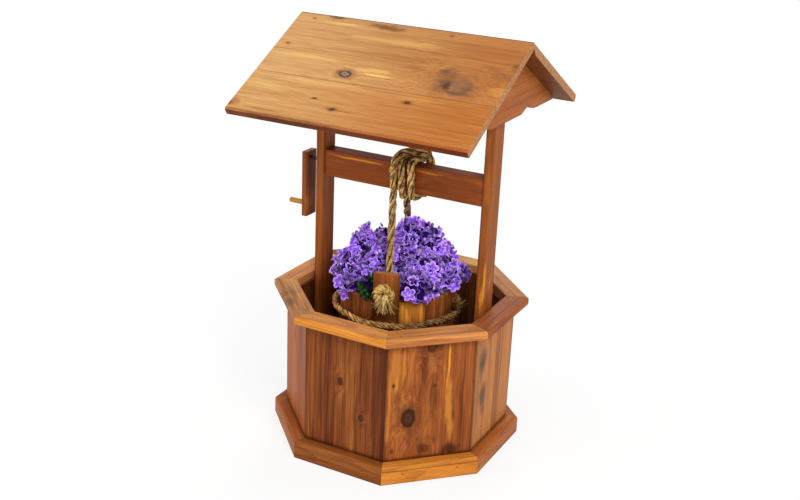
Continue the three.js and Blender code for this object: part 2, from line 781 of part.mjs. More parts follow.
// The outermost place on the tufts along a direction from the middle of the plant, and the way it faces
function moundSurface(balls, centre, direction) {
  let far = 0;
  let normal = direction;
  for (const { middle, radius } of balls) {
    const offset = new THREE.Vector3().subVectors(middle, centre);
    const along = offset.dot(direction);
    const aside = offset.lengthSq() - along * along;
    const reach = along + Math.sqrt(Math.max(radius * radius - aside, 0));
    if (aside < radius * radius && reach > far) {
      far = reach;
      normal = direction.clone().multiplyScalar(reach).sub(offset).normalize();
    }
  }
  return { place: centre.clone().addScaledVector(direction, far), normal };
}

// A bellflower: a five-pointed star, dished in front and drawn to a point behind
function bellGeometry() {
  const radius = bellDiameter / 2;
  const points = [new THREE.Vector3(0, 0, -bellDepth * bellDishShare), new THREE.Vector3(0, 0, -bellDepth)];
  const rimCount = 2 * bellPetals;
  for (let i = 0; i < rimCount; i += 1) {
    const turn = Math.PI * i / bellPetals;
    const reach = i % 2 ? radius * bellWaistShare : radius;
    points.push(new THREE.Vector3(reach * Math.cos(turn), reach * Math.sin(turn), 0));
  }
  const faces = [];
  for (let i = 0; i < rimCount; i += 1) {
    const here = 2 + i;
    const next = 2 + (i + 1) % rimCount;
    faces.push(0, here, next, 1, next, here);
  }
  const geometry = new THREE.BufferGeometry().setFromPoints(points);
  geometry.setIndex(faces);
  return geometry;
}

// Bells spread evenly over the tufts, each of them square to the tuft that it grows on
function bellSolids(balls) {
  const centre = new THREE.Vector3(0, 0, staveTop);
  const goldenTurn = Math.PI * (3 - Math.sqrt(5));
  const ahead = new THREE.Vector3(0, 0, 1);
  const bell = bellGeometry();
  const solids = [];
  for (let i = 0; i < bellCount; i += 1) {
    const up = 1 - (i + 1 / 2) / bellCount;
    const flat = Math.sqrt(1 - up * up);
    const turn = i * goldenTurn;
    const direction = new THREE.Vector3(flat * Math.cos(turn), flat * Math.sin(turn), up);
    const { place, normal } = moundSurface(balls, centre, direction);
    place.addScaledVector(normal, bellDepth * bellLiftShare);
    const copy = bell.clone();
    copy.applyQuaternion(new THREE.Quaternion().setFromUnitVectors(ahead, normal));
    copy.translate(place.x, place.y, place.z);
    solids.push(toSolid(copy));
  }
  return solids;
}

// What the plant grows round: the staves, the ears with the space in front of them, and the falls
function plantClearances() {
  const keep = moundClearance;
  const ringProfile = [
    [staveInner - keep, staveFoot], [staveCorner + keep, staveFoot],
    [staveCorner + keep, staveTop + keep], [staveInner - keep, staveTop + keep],
    [staveInner - keep, staveFoot],
  ].map(([radius, height]) => new THREE.Vector2(radius, height));
  const ring = new THREE.LatheGeometry(ringProfile, 2 * roundSteps);
  ring.rotateX(quarter);
  const cuts = [toSolid(ring)];
  const outer = staveOuter + knotDepth + keep;
  const earOutline = roundedOutline(staveInner - keep, staveFoot, outer, earTop + keep, [0, 0, 0, 0]);
  for (const turn of [earTurns.front, earTurns.back]) {
    const space = mitredBoard(earOutline, staveHalfAngle * moundEarShare);
    space.rotateZ(turn);
    cuts.push(toSolid(space));
  }
  for (const side of [-1, 1]) {
    const { points, normals } = fallRoute(side);
    cuts.push(toSolid(ropeTube(points, normals, ropeSides, ropeDiameter + 2 * keep)));
  }
  return cuts;
}

// The plant is one body: the tufts less what they grow round, and every bell that stands clear
function buildPlant() {
  const plant = new THREE.Group();
  plant.position.x = bucketShift;
  const balls = tufts();
  const cuts = plantClearances();
  let mound = null;
  for (const { middle, radius } of balls) {
    const ball = new THREE.IcosahedronGeometry(radius, tuftDetail);
    ball.translate(middle.x, middle.y, middle.z);
    mound = mound ? mound.add(toSolid(ball)) : toSolid(ball);
  }
  for (const cut of cuts) mound = mound.subtract(cut);
  const foot = staveTop - soilDrop + seatGap;
  const room = new THREE.CylinderGeometry(2 * moundRadius, 2 * moundRadius, 2 * moundHeight, roundSteps);
  room.rotateX(quarter);
  room.translate(0, 0, foot + moundHeight);
  mound = mound.intersect(toSolid(room));
  const kept = [];
  for (const bell of bellSolids(balls)) {
    const clear = [...cuts, ...kept].every((other) => other.intersect(bell).isEmpty());
    if (clear) kept.push(bell);
  }
  for (const bell of kept) mound = mound.add(bell);
  addPiece(plant, "bellflowers", outerShell(fromSolid(mound)), looks.plant());
  return plant;
}

const parts = [
  buildWell(), buildFloor(), buildPosts(), buildRoof(), buildGables(), buildCrank(), buildBucket(),
  buildWinding(), buildFalls(), buildPlant(),
];
for (const part of parts) model.add(part);

export default model;
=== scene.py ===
"""The looks of a wishing well planter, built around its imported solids. Metres, +Z up, the well's axis on Z."""
import bisect
import math
import random

import bmesh
import bpy
from mathutils import Matrix, Vector, noise


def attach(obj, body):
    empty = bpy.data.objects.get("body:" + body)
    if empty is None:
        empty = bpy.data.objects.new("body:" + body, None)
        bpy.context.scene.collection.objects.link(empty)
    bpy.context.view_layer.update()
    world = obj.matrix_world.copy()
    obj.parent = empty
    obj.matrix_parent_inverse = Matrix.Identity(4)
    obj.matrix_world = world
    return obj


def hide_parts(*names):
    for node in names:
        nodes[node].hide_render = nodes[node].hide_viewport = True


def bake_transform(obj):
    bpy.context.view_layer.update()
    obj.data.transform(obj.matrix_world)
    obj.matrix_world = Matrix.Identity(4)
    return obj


MM = 0.001
UP = Vector((0, 0, 1))
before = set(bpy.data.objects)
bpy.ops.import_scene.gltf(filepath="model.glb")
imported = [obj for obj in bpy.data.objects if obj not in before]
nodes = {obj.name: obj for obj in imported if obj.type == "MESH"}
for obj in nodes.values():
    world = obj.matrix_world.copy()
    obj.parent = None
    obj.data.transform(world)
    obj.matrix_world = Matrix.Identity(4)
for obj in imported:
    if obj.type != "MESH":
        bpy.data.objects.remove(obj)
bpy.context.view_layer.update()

# Camera, fitted to the corners of the well, posts, beam and roof; lengths in millimetres, angles in degrees
CAMERA_AZIMUTH = 27.43
CAMERA_ELEVATION = 20.69
CAMERA_ROLL = 2.48
CAMERA_DISTANCE = 2547.2
CAMERA_RIGHT = 11.48
CAMERA_UP = 375.76
FOCAL_PIXELS = 1160.02
FRAME_WIDTH = 800
SENSOR = 36


def add_object(name, data):
    made = bpy.data.objects.new(name, data)
    bpy.context.scene.collection.objects.link(made)
    return made


def add_camera():
    azimuth, elevation, roll = (math.radians(v) for v in (CAMERA_AZIMUTH, CAMERA_ELEVATION, CAMERA_ROLL))
    back = Vector((math.sin(azimuth) * math.cos(elevation), -math.cos(azimuth) * math.cos(elevation),
                   math.sin(elevation)))
    right = Vector((math.cos(azimuth), math.sin(azimuth), 0))
    up = back.cross(right)
    across = right * math.cos(roll) + up * math.sin(roll)
    upright = up * math.cos(roll) - right * math.sin(roll)
    place = (back * CAMERA_DISTANCE + across * CAMERA_RIGHT + upright * CAMERA_UP) * MM
    data = bpy.data.cameras.new("camera")
    data.sensor_width = SENSOR
    data.lens = FOCAL_PIXELS * SENSOR / FRAME_WIDTH
    data.clip_end = 50
    camera = add_object("camera", data)
    camera.matrix_world = Matrix.Translation(place) @ Matrix((across, upright, back)).transposed().to_4x4()
    bpy.context.scene.camera = camera


def add_lamp(name, place, target, size, power, color=(1, 1, 1)):
    data = bpy.data.lights.new(name, "AREA")
    data.shape = "DISK"
    data.size, data.energy, data.color = size, power, color
    lamp = add_object(name, data)
    lamp.location = place
    lamp.rotation_euler = (Vector(target) - Vector(place)).to_track_quat("-Z", "Y").to_euler()


# Node helpers

def operator(operation, swapped=False):
    """A method of Wire that adds the node for an operation; swapped is for the wire on the right of it."""
    return lambda wire, other: reckon(operation, *((other, wire) if swapped else (wire, other)))


class Wire:
    """An output of a shader node. Sums, products and powers of wires add the nodes that reckon them."""
    __add__, __radd__ = operator("ADD"), operator("ADD", True)
    __sub__, __rsub__ = operator("SUBTRACT"), operator("SUBTRACT", True)
    __mul__, __truediv__ = operator("MULTIPLY"), operator("DIVIDE")
    __pow__, __rpow__ = operator("POWER"), operator("POWER", True)

    def __init__(self, tree, socket):
        self.tree, self.socket = tree, socket

    def __getitem__(self, key):
        """Another output of the same node."""
        return Wire(self.tree, self.socket.node.outputs[key])

    def __abs__(self):
        return reckon("ABSOLUTE", self)


def feed(socket, value):
    if isinstance(value, Wire):
        value.tree.links.new(value.socket, socket)
    else:
        socket.default_value = (*value, 1) if socket.type == "RGBA" else value


def node(kind, inputs=None, tree=None, **settings):
    """Adds a node to the tree that its inputs come from, feeds them to it, and gives its first output."""
    inputs = inputs or {}
    if tree is None:
        tree = next(value.tree for value in inputs.values() if isinstance(value, Wire))
    made = tree.nodes.new("ShaderNode" + kind)
    for key, value in settings.items():
        setattr(made, key, value)
    for key, value in inputs.items():
        feed(made.inputs[key], value)
    return Wire(tree, made.outputs[0]) if made.outputs else None


def is_number(value):
    return value.socket.type == "VALUE" if isinstance(value, Wire) else not hasattr(value, "__len__")


def reckon(operation, *values):
    """Math for numbers, Vector Math for vectors and colours, and a vector or colour times a number is scaled."""
    numbers = [is_number(value) for value in values]
    if any(numbers) and not all(numbers):
        vector, scale = sorted(values, key=is_number)
        return node("VectorMath", {0: vector, "Scale": scale}, operation="SCALE")
    return node("Math" if all(numbers) else "VectorMath", dict(enumerate(values)), operation=operation)


def length_of(vector):
    return reckon("LENGTH", vector)["Value"]


def split(vector):
    """The vector's parts, as outputs X, Y and Z."""
    return node("SeparateXYZ", {0: vector})


def grain_noise(vector, scale, detail=3.0, rough=0.55, color=False):
    made = node("TexNoise", {"Vector": vector, "Scale": scale, "Detail": detail, "Roughness": rough})
    return made[1 if color else 0]


def span(value, low, high, to_low=0.0, to_high=1.0, smooth=True):
    inputs = {"Value": value, "From Min": low, "From Max": high, "To Min": to_low, "To Max": to_high}
    return node("MapRange", inputs, interpolation_type="SMOOTHSTEP" if smooth else "LINEAR")


def mix(share, first, second, mode="MIX"):
    return node("Mix", {0: share, 6: first, 7: second}, data_type="RGBA", blend_type=mode)[2]


def tinted(color, gains):
    return mix(1.0, color, gains, "MULTIPLY")


def new_material(name):
    material = bpy.data.materials.new(name)
    material.use_nodes = True
    material.node_tree.nodes.clear()
    return material, material.node_tree


def object_place(tree):
    return node("TexCoord", tree=tree)["Object"]


def principled(color, rough, specular=0.5, bump=None, also=None):
    """A surface; bump is a height, how strongly it shows and how far it stands up."""
    inputs = {"Base Color": color, "Roughness": rough, "Specular IOR Level": specular, **(also or {})}
    if bump:
        inputs["Normal"] = node("Bump", dict(zip(("Height", "Strength", "Distance"), bump)))
    return node("BsdfPrincipled", inputs)


def finish(*surface, **options):
    node("OutputMaterial", {"Surface": principled(*surface, **options)})


def start_group(name, vectors, colors="", numbers=""):
    """A new node group's tree, and its inputs by name."""
    tree = bpy.data.node_groups.new(name, "ShaderNodeTree")
    for kind, names in (("Vector", vectors), ("Color", colors), ("Float", numbers)):
        for each in names.split():
            tree.interface.new_socket(each, in_out="INPUT", socket_type="NodeSocket" + kind)
    sockets = tree.nodes.new("NodeGroupInput").outputs
    return tree, {socket.name: Wire(tree, socket) for socket in sockets if socket.name}


def end_group(tree, **results):
    """Each result gives its wire and the kind of socket that it leaves by."""
    end = tree.nodes.new("NodeGroupOutput")
    for name, (wire, kind) in results.items():
        tree.interface.new_socket(name, in_out="OUTPUT", socket_type="NodeSocket" + kind)
        feed(end.inputs[name], wire)
    return tree


# Cedar

NOISE_MIDDLE = (0.5, 0.5, 0.5)
KNOT_DARK = (0.022, 0.008, 0.004)
RING_WIDTH = 0.0052


def make_knot_group():
    """A knot lifts the grain round it, so that the rings close about it, and gives its own distance."""
    tree, given = start_group("knot", "Grain Board Centre", numbers="Size")
    wobble = (grain_noise(given["Board"], 60.0, 2.0, color=True) - NOISE_MIDDLE) * 0.0065
    apart = (given["Board"] - given["Centre"] + wobble) * (0.72, 1.0, 0.25)
    distance = length_of(apart) / given["Size"]
    lift = math.e ** (distance ** 2.0 * -0.16) * given["Size"] * 1.9
    grain = given["Grain"] + node("CombineXYZ", {"Z": lift})
    return end_group(tree, Grain=(grain, "Vector"), Distance=(distance, "Float"))


def make_tint_group():
    """The colour of a knot: a dark mottled heart with a broken rim, and a soft reddish halo."""
    tree, given = start_group("knot_tint", "Board", "Color Heart", "Distance Power")
    power = given["Power"]
    mottle = grain_noise(given["Board"], 170.0, 4.0, 0.7)
    distance = given["Distance"] + span(mottle, 0.2, 0.8, -0.1, 0.1, False)
    colored = mix(span(distance, 2.9, 0.9) * (power * 0.6), given["Color"], (0.15, 0.042, 0.012))
    rings = reckon("SINE", distance * 11.0)
    dark = span(rings, -1.0, 1.0, 0.0, 0.3) + span(mottle, 0.35, 0.65, 0.0, 0.5)
    heart = mix(dark, given["Heart"], KNOT_DARK)
    colored = mix(span(distance, 1.2, 0.7) * power, colored, heart)
    rim = span(distance, 0.65, 0.95) * span(distance, 1.35, 1.05) * (power * 0.85)
    return end_group(tree, Color=(mix(rim, colored, KNOT_DARK), "Color"))


def make_cedar_group():
    """Cedar as a solid: rings about a pith that runs askew under the board, broad bands, fibres and sapwood."""
    tree, given = start_group("cedar", "Grain Board Seed Pith", "Dark Middle Light Sap",
                              "Sap_edge Sap_side Streaks Smudges Wave Contrast")
    contrast = given["Contrast"]
    seeded = given["Board"] + given["Seed"]
    sway = (grain_noise(seeded * (1.0, 4.0, 4.0), 3.2, 2.0, color=True) - NOISE_MIDDLE) * given["Wave"]
    grain = given["Grain"] + sway * (0.0, 1.0, 1.0)
    along = grain + given["Seed"]

    def bands(frequency, across, detail=2.0):
        return grain_noise(along * (frequency, across, across), 1.0, detail)

    place, pith = split(grain), split(given["Pith"])
    askew = place["X"] * pith["Z"]
    aside = place["Y"] + pith["X"] + askew
    deep = place["Z"] + pith["Y"] + askew
    radius = reckon("SQRT", aside ** 2.0 + deep ** 2.0)
    uneven = grain_noise(node("CombineXYZ", {"X": radius}), 70.0, 2.0)
    ring = reckon("FRACT", radius / RING_WIDTH + uneven)
    late = span(ring, 0.35, 0.9) * span(ring, 1.0, 0.92)
    broad, middle, fine, fibre = bands(1.2, 15.0), bands(2.6, 95.0), bands(5.0, 330.0), bands(22.0, 900.0)
    tone = span(broad, 0.25, 0.75) * 0.42 + span(middle, 0.25, 0.75) * 0.32 + span(fine, 0.25, 0.75) * 0.26
    tone = 0.5 + (tone - 0.5) * contrast
    colored = mix(span(tone, 0.18, 0.5), given["Dark"], given["Middle"])
    colored = mix(span(tone, 0.5, 0.84), colored, given["Light"])
    colored = mix(span(bands(1.3, 75.0, 1.0), 0.62, 0.76) * given["Streaks"], colored, given["Sap"])
    side = place["Y"] * given["Sap_side"] + (broad - 0.5) * 0.05
    sapwood = mix(span(middle, 0.3, 0.7, 0.0, 0.35), given["Sap"], given["Middle"])
    colored = mix(span(side - given["Sap_edge"], -0.006, 0.006), colored, sapwood)
    smudge = span(grain_noise(seeded * (9.0, 24.0, 24.0), 1.0, 4.0), 0.56, 0.72) * given["Smudges"]
    colored = mix(smudge, colored, (0.075, 0.026, 0.013))
    colored = mix(late * (contrast * 0.34), colored, given["Dark"])
    vein = 1.0 - span(bands(3.0, 210.0, 1.0), 0.6, 0.7) * 0.3 * contrast
    colored = colored * (span(fibre, 0.2, 0.8, 0.72, 1.2, False) * vein)
    return end_group(tree, Color=(colored, "Color"), Height=(fibre * 0.6 + late * -0.35, "Float"),
                     Rough=(span(fibre, 0.2, 0.8, 0.4, 0.56), "Float"))


def make_mark_group():
    """A streak or a blot of another colour, long with the grain, with a ragged edge."""
    tree, given = start_group("mark", "Board Centre Reach", "Color Tint", "Power")
    ragged = grain_noise(given["Board"] * (24.0, 90.0, 90.0), 1.0, 4.0, 0.65, color=True) - NOISE_MIDDLE
    apart = (given["Board"] - given["Centre"]) * given["Reach"] + ragged * 1.9
    mask = span(length_of(apart * (1.0, 1.0, 0.0)), 1.15, 0.35) * given["Power"]
    return end_group(tree, Color=(mix(mask, given["Color"], given["Tint"]), "Color"))


KNOT_GROUP = make_knot_group()
MARK_GROUP = make_mark_group()
TINT_GROUP = make_tint_group()
CEDAR_GROUP = make_cedar_group()

# Cedar tones, linear: dark, middle and light heartwood, and sapwood
TONES = {
    "heart": ((0.095, 0.020, 0.006), (0.250, 0.070, 0.017), (0.430, 0.145, 0.032), (0.70, 0.26, 0.034)),
    "calm": ((0.185, 0.044, 0.010), (0.315, 0.088, 0.018), (0.430, 0.140, 0.030), (0.68, 0.25, 0.036)),
    "tan": ((0.300, 0.100, 0.028), (0.510, 0.200, 0.058), (0.660, 0.300, 0.092), (0.75, 0.38, 0.10)),
    "amber": ((0.240, 0.054, 0.006), (0.430, 0.125, 0.012), (0.600, 0.205, 0.024), (0.70, 0.27, 0.04)),
    "golden": ((0.340, 0.130, 0.034), (0.490, 0.222, 0.066), (0.620, 0.325, 0.115), (0.82, 0.49, 0.16)),
    "dowel": ((0.36, 0.140, 0.020), (0.58, 0.265, 0.050), (0.74, 0.40, 0.11), (0.80, 0.50, 0.20)),
}
TONE_KEYS = ("Dark", "Middle", "Light", "Sap")
BRIGHTEST = 0.9
HEART = (0.10, 0.032, 0.013)
SAP = (0.72, 0.27, 0.03)
YELLOW = (0.85, 0.50, 0.12)
ORANGE = (0.56, 0.20, 0.035)
DEEP = (0.105, 0.026, 0.008)
RUSSET = (0.36, 0.12, 0.03)
BLOT = (0.05, 0.014, 0.005)
# Near black, for the painted shade of the shade lines
SHADE_LINE_COLOR = (0.045, 0.010, 0.003)
GREY = (0.30, 0.155, 0.09)
SMOKE = (0.115, 0.058, 0.032)
NO_SAP = (1, 999)


def dress(name, material):
    mesh = nodes[name].data
    mesh.materials.clear()
    mesh.materials.append(material)


def board(name, along, face, origin, tone, knots=(), marks=(), pith=None, shade=1, warmth=1, sap=NO_SAP,
          streaks=0.0, smudges=0.25, wave=40, contrast=1, heart=HEART, light_and_tone_fade=None, inside=None, ends=0.8, under=None,
          top=None, shade_lines=(), half=None):
    """Gives a board its cedar. Its grain runs along, face looks out of its best side, origin is a point there.

    Lengths are in millimetres. A knot is a place, a size and a power; a mark a place, half its length and width, a
    colour and a power; a line a level, a reach and a power, and it paints shade along that level. pith is how far
    aside and deep the pith lies, and its slope; sap the side and the edge of the sapwood; fade two places along and
    the gains there, mostly a painted sheen and fall-off of the light, with some change of the wood's own tone; top
    and under tint the faces that look up and down, with painted light on the tops and painted shade on the
    undersides; inside paints shade on the back, ends shows end grain, and half is half the board's width, for the
    dark joints and the painted shade in the seams that darken its long edges.
    """
    seed = random.Random("cedar " + name)
    along, face, origin = Vector(along).normalized(), Vector(face).normalized(), Vector(origin) * MM
    turn = Matrix((along, face.cross(along), face))

    def on_board(*place):
        return turn @ (Vector(place) * MM - origin)

    material, tree = new_material("cedar_" + name)
    place = object_place(tree)
    local = node("Mapping", {"Vector": place, "Location": -(turn @ origin), "Rotation": turn.to_euler("XYZ")},
                 vector_type="POINT")
    grain, distances = local, []
    for x, y, z, size, power in knots:
        grain = node("Group", {"Grain": grain, "Board": local, "Centre": on_board(x, y, z), "Size": size * MM},
                     node_tree=KNOT_GROUP)
        distances.append((grain["Distance"], power))
    start = [seed.uniform(-9, 9) for _ in range(3)]
    aside, deep, slope = pith or (seed.uniform(-50, 50), seed.uniform(30, 90), seed.uniform(-0.12, 0.12))
    gains = (shade * warmth, shade, shade / warmth)
    tones = ([min(part * gain, BRIGHTEST) for part, gain in zip(color, gains)] for color in TONES[tone])
    wood = node("Group", {
        "Grain": grain, "Board": local, "Seed": start, "Pith": (aside * MM, deep * MM, slope),
        **dict(zip(TONE_KEYS, tones)), "Sap_side": sap[0], "Sap_edge": sap[1] * MM, "Streaks": streaks,
        "Smudges": smudges, "Wave": wave * MM, "Contrast": contrast}, node_tree=CEDAR_GROUP)
    colored = wood["Color"]
    for x, y, z, half_long, half_wide, tint, power in marks:
        colored = node("Group", {
            "Color": colored, "Board": local, "Centre": on_board(x, y, z), "Tint": tint, "Power": power,
            "Reach": (1 / (half_long * MM), 1 / (half_wide * MM), 0)}, node_tree=MARK_GROUP)
    for distance, power in distances:
        colored = node("Group", {"Color": colored, "Distance": distance, "Board": local, "Heart": heart,
                                 "Power": power}, node_tree=TINT_GROUP)
    if light_and_tone_fade:
        # Mostly painted light: a sheen and a fall-off of the light along the board, with some change of the wood's
        # own tone
        from_x, to_x, first, last = light_and_tone_fade
        colored = tinted(colored, mix(span(split(local)["X"], from_x * MM, to_x * MM), first, last))
    if inside:
        # Painted shade on the back of the board: the inside of the well, and the crank arm's side by the post
        colored = mix(span(split(local)["Z"], -0.006, -0.012), colored, colored * inside)
    way_out = node("TexCoord", tree=tree)["Normal"]
    rings = grain_noise(grain * (8.0, 130.0, 420.0), 1.0, 3.0)
    end_grain = mix(span(rings, 0.3, 0.7), (0.24, 0.10, 0.036), (0.50, 0.25, 0.105))
    endwise = abs(reckon("DOT_PRODUCT", way_out, along)["Value"])
    colored = mix(span(endwise, 0.75, 0.9, 0.0, ends), colored, end_grain)
    if under:
        # Painted shade on the faces that look down
        colored = mix(span(split(way_out)["Z"], -0.1, -0.4), colored, tinted(colored, under))
    # Painted light and shade: the faces that look up take a tint of their own against the sides
    if top:
        gains, power = top
        colored = mix(span(split(way_out)["Z"], 0.8, 0.97, 0.0, power), colored, tinted(colored, gains))
    # Each line paints shade along a level: at the feet of boards, under overhangs, under a trim's top edge, about
    # the hoop and under the knots
    for level, reach, power in shade_lines:
        off = abs(split(place)["Z"] - level * MM)
        colored = mix(span(off, 0.0, reach * MM, power, 0.0), colored, SHADE_LINE_COLOR)
    # Darker towards the long edges: the dark joints, and painted shade in the seams between the boards
    if half:
        edge = span(abs(split(local)["Y"]), (half - 8) * MM, (half + 1) * MM, 0.0, 0.6)
        colored = mix(edge, colored, (0.045, 0.012, 0.004))
    finish(colored, wood["Rough"], 0.07, bump=(wood["Height"], 0.25, 0.0006))
    dress(name, material)


def radial(degrees):
    return Vector((math.cos(math.radians(degrees)), math.sin(math.radians(degrees)), 0))


# The well, in millimetres: its outside, its sides, half a panel's width, and where the rim and trim boards are
WALL = 222.1
SIDES = 8
SEGMENT = 360 / SIDES
PANEL_HALF = 92
RIM_MIDDLE = 226
RIM_TOP = 318
TRIM_FACE = WALL + 24
# Painted shade along each panel: at its foot, where the trim meets it, and under the rim
PANEL_SHADE_LINES = ((40, 9, 0.8), (298, 5, 0.6))
PLAIN_PANEL = {"streaks": 0.2, "smudges": 0.3, "wave": 14}
PANELS = {
    1: ("heart", {
        "knots": ((126, -188, 133, 12.5, 1.0), (156, -158, 286, 9, 0.7), (153, -161, 60, 6, 0.5),
                  (104, -210, 62, 3, 0.6), (103, -211, 207, 2.5, 0.8), (164, -150, 199, 2.5, 0.8)),
        "marks": ((106, -208, 250, 62, 13, ORANGE, 0.6), (98, -216, 190, 60, 6, ORANGE, 0.6),
                  (96, -218, 112, 46, 6, ORANGE, 0.65), (117, -197, 250, 48, 4.5, SAP, 0.5),
                  (107, -207, 203, 30, 4, SAP, 0.45), (183, -131, 248, 44, 3.2, SAP, 0.95),
                  (181, -133, 205, 22, 2.6, SAP, 0.6), (188, -126, 128, 40, 5, SAP, 0.4),
                  (184, -130, 160, 62, 9, ORANGE, 0.8), (190, -124, 96, 30, 8, ORANGE, 0.6),
                  (156, -158, 250, 26, 12, RUSSET, 0.7), (148, -166, 226, 56, 9, DEEP, 0.6),
                  (162, -152, 170, 46, 10, DEEP, 0.6), (205, -109, 165, 110, 3, DEEP, 0.45),
                  (110, -204, 172, 30, 8, DEEP, 0.35), (128, -186, 92, 26, 8, DEEP, 0.4),
                  (190, -124, 52, 17, 22, BLOT, 0.85), (146, -168, 58, 24, 8, BLOT, 0.75),
                  (168, -146, 286, 12, 8, BLOT, 0.5)),
        "streaks": 0.15, "smudges": 0.12, "pith": (-12, 62, 0.06), "wave": 34, "shade": 1.18, "warmth": 1.02,
        "contrast": 0.8}),
    2: ("tan", {
        "marks": ((222, -57, 228, 34, 24, SMOKE, 0.95), (222, -48, 150, 30, 22, SMOKE, 0.95),
                  (222, -42, 112, 18, 15, SMOKE, 0.6), (222, -60, 190, 14, 8, SMOKE, 0.4),
                  (222, -74, 150, 140, 5, DEEP, 0.4), (222, 0, 160, 120, 14, ORANGE, 0.35),
                  (222, 50, 140, 130, 12, ORANGE, 0.3), (222, -30, 110, 60, 8, ORANGE, 0.3),
                  (222, 24, 150, 140, 4, DEEP, 0.35)),
        "streaks": 0.12, "smudges": 0.12, "wave": 10, "shade": 0.92, "warmth": 1.04}),
    3: ("heart", {"knots": ((170, 144, 120, 13, 0.9), (140, 174, 236, 5, 0.8))}),
    4: ("heart", {"knots": ((30, 222, 205, 12, 0.9), (-45, 222, 90, 8, 0.8))}),
    5: ("heart", {"knots": ((-150, 164, 140, 10, 0.8),)}),
    6: ("heart", {"knots": ((-222, 40, 220, 14, 0.9), (-222, -52, 96, 6, 0.8))}),
    7: ("calm", {"knots": ((-165, -149, 226, 4, 0.4),), "marks": ((-165, -149, 100, 60, 5, SAP, 0.15),),
                 "streaks": 0.0, "smudges": 0.02, "wave": 8, "shade": 1.08, "warmth": 1.1}),
    8: ("heart", {
        "knots": ((-11, -222, 191, 5.5, 0.9), (39, -222, 123, 4.5, 0.9)),
        "marks": ((72, -222, 190, 170, 17, DEEP, 0.6), (-24, -222, 100, 90, 2.5, BLOT, 0.5),
                  (22, -222, 200, 90, 2.5, BLOT, 0.35), (39, -222, 90, 60, 3, BLOT, 0.4),
                  (-46, -222, 160, 110, 3, DEEP, 0.45), (6, -222, 150, 90, 5, ORANGE, 0.22),
                  (-76, -222, 170, 120, 5, ORANGE, 0.18)),
        "streaks": 0.0, "smudges": 0.12, "pith": (20, 120, 0.02), "wave": 9, "shade": 0.91, "warmth": 1.03}),
}
# The rims' top tints are painted light and shade on the faces that look up, against the sides; their lines at 299
# paint shade along the lower edge of the outer face
RIMS = {
    1: ("tan", {"smudges": 0.08, "shade": 1.32, "top": ((0.81, 0.77, 0.70), 1.0), "shade_lines": ((299, 4, 0.4),),
                "marks": ((165, -165, 318, 70, 3, YELLOW, 0.3),)}),
    2: ("calm", {"smudges": 0.1, "shade": 1.14, "warmth": 1.04, "top": ((0.9, 0.95, 1.0), 1.0),
                 "shade_lines": ((299, 4, 0.5),)}),
    3: ("tan", {"streaks": 0.2, "shade": 0.9}),
    4: ("tan", {"sap": (1, -30), "streaks": 0.4, "shade": 0.9}),
    5: ("calm", {"smudges": 0.15}),
    6: ("tan", {"smudges": 0.15, "shade": 1.15}),
    7: ("tan", {"smudges": 0.3, "shade": 1.12, "warmth": 0.88, "shade_lines": ((299, 4, 0.5),),
                "marks": ((-152, -190, 318, 26, 14, SMOKE, 0.6), (-170, -150, 318, 34, 7, SMOKE, 0.5),
                          (-185, -160, 318, 16, 16, SMOKE, 0.4))}),
    8: ("amber", {"sap": (-1, -16), "smudges": 0.05, "shade": 1.04, "top": ((0.92, 1.0, 1.9), 1.0),
                  "shade_lines": ((299, 3, 0.5),), "marks": ((-40, -232, 318, 50, 4, SAP, 0.4),)}),
}
PLAIN_TRIM = ("calm", {"smudges": 0.2})
# The trims' lines at 0 paint shade along their foot; on trim 1 those at 30 and 34 paint shade under its rounded top
# edge
TRIMS = {
    1: ("amber", {"sap": (1, -30), "streaks": 0.5, "smudges": 0.08, "shade": 0.98, "warmth": 1.03,
                  "shade_lines": ((30, 2.2, 0.65), (34, 5, 0.25), (0, 4, 0.6))}),
    2: ("calm", {"smudges": 0.15, "shade": 1.08, "shade_lines": ((0, 5, 0.6),)}),
    7: ("calm", {"smudges": 0.15, "shade": 1.08, "shade_lines": ((0, 5, 0.6),)}),
    8: ("calm", {"smudges": 0.3, "shade": 0.67, "warmth": 1.03, "shade_lines": ((0, 5, 0.6),)}),
}


def sides_of_well():
    """Each side's number, the way out of it and the way along it."""
    for number in range(1, SIDES + 1):
        out = radial((number - 2) * SEGMENT)
        yield number, out, UP.cross(out)


def dress_well():
    for number, out, tangent in sides_of_well():
        tone, options = PANELS[number]
        # inside=0.42 paints shade on the panels' inner faces
        board(f"wall_panel_{number}", UP, out, out * WALL, tone, half=PANEL_HALF, inside=0.42, shade_lines=PANEL_SHADE_LINES,
              **{**PLAIN_PANEL, **options})
        tone, options = RIMS[number]
        board(f"rim_board_{number}", tangent, UP, out * RIM_MIDDLE + UP * RIM_TOP, tone, pith=(0, 60, 0.05),
              wave=14, ends=0, **options)
        tone, options = TRIMS.get(number, PLAIN_TRIM)
        board(f"base_trim_{number}", tangent, out, out * TRIM_FACE + UP * 20, tone, pith=(10, 70, 0.04), wave=14,
              ends=0, **options)
    for number in range(1, 4):
        board(f"floor_board_{number}", (1, 0, 0), UP, (0, 0, 19), "heart")


# The roof's rise over its run, and its ridge
ROOF_PITCH = math.atan2(148, 265.5)
RIDGE = (0, 0, 865)
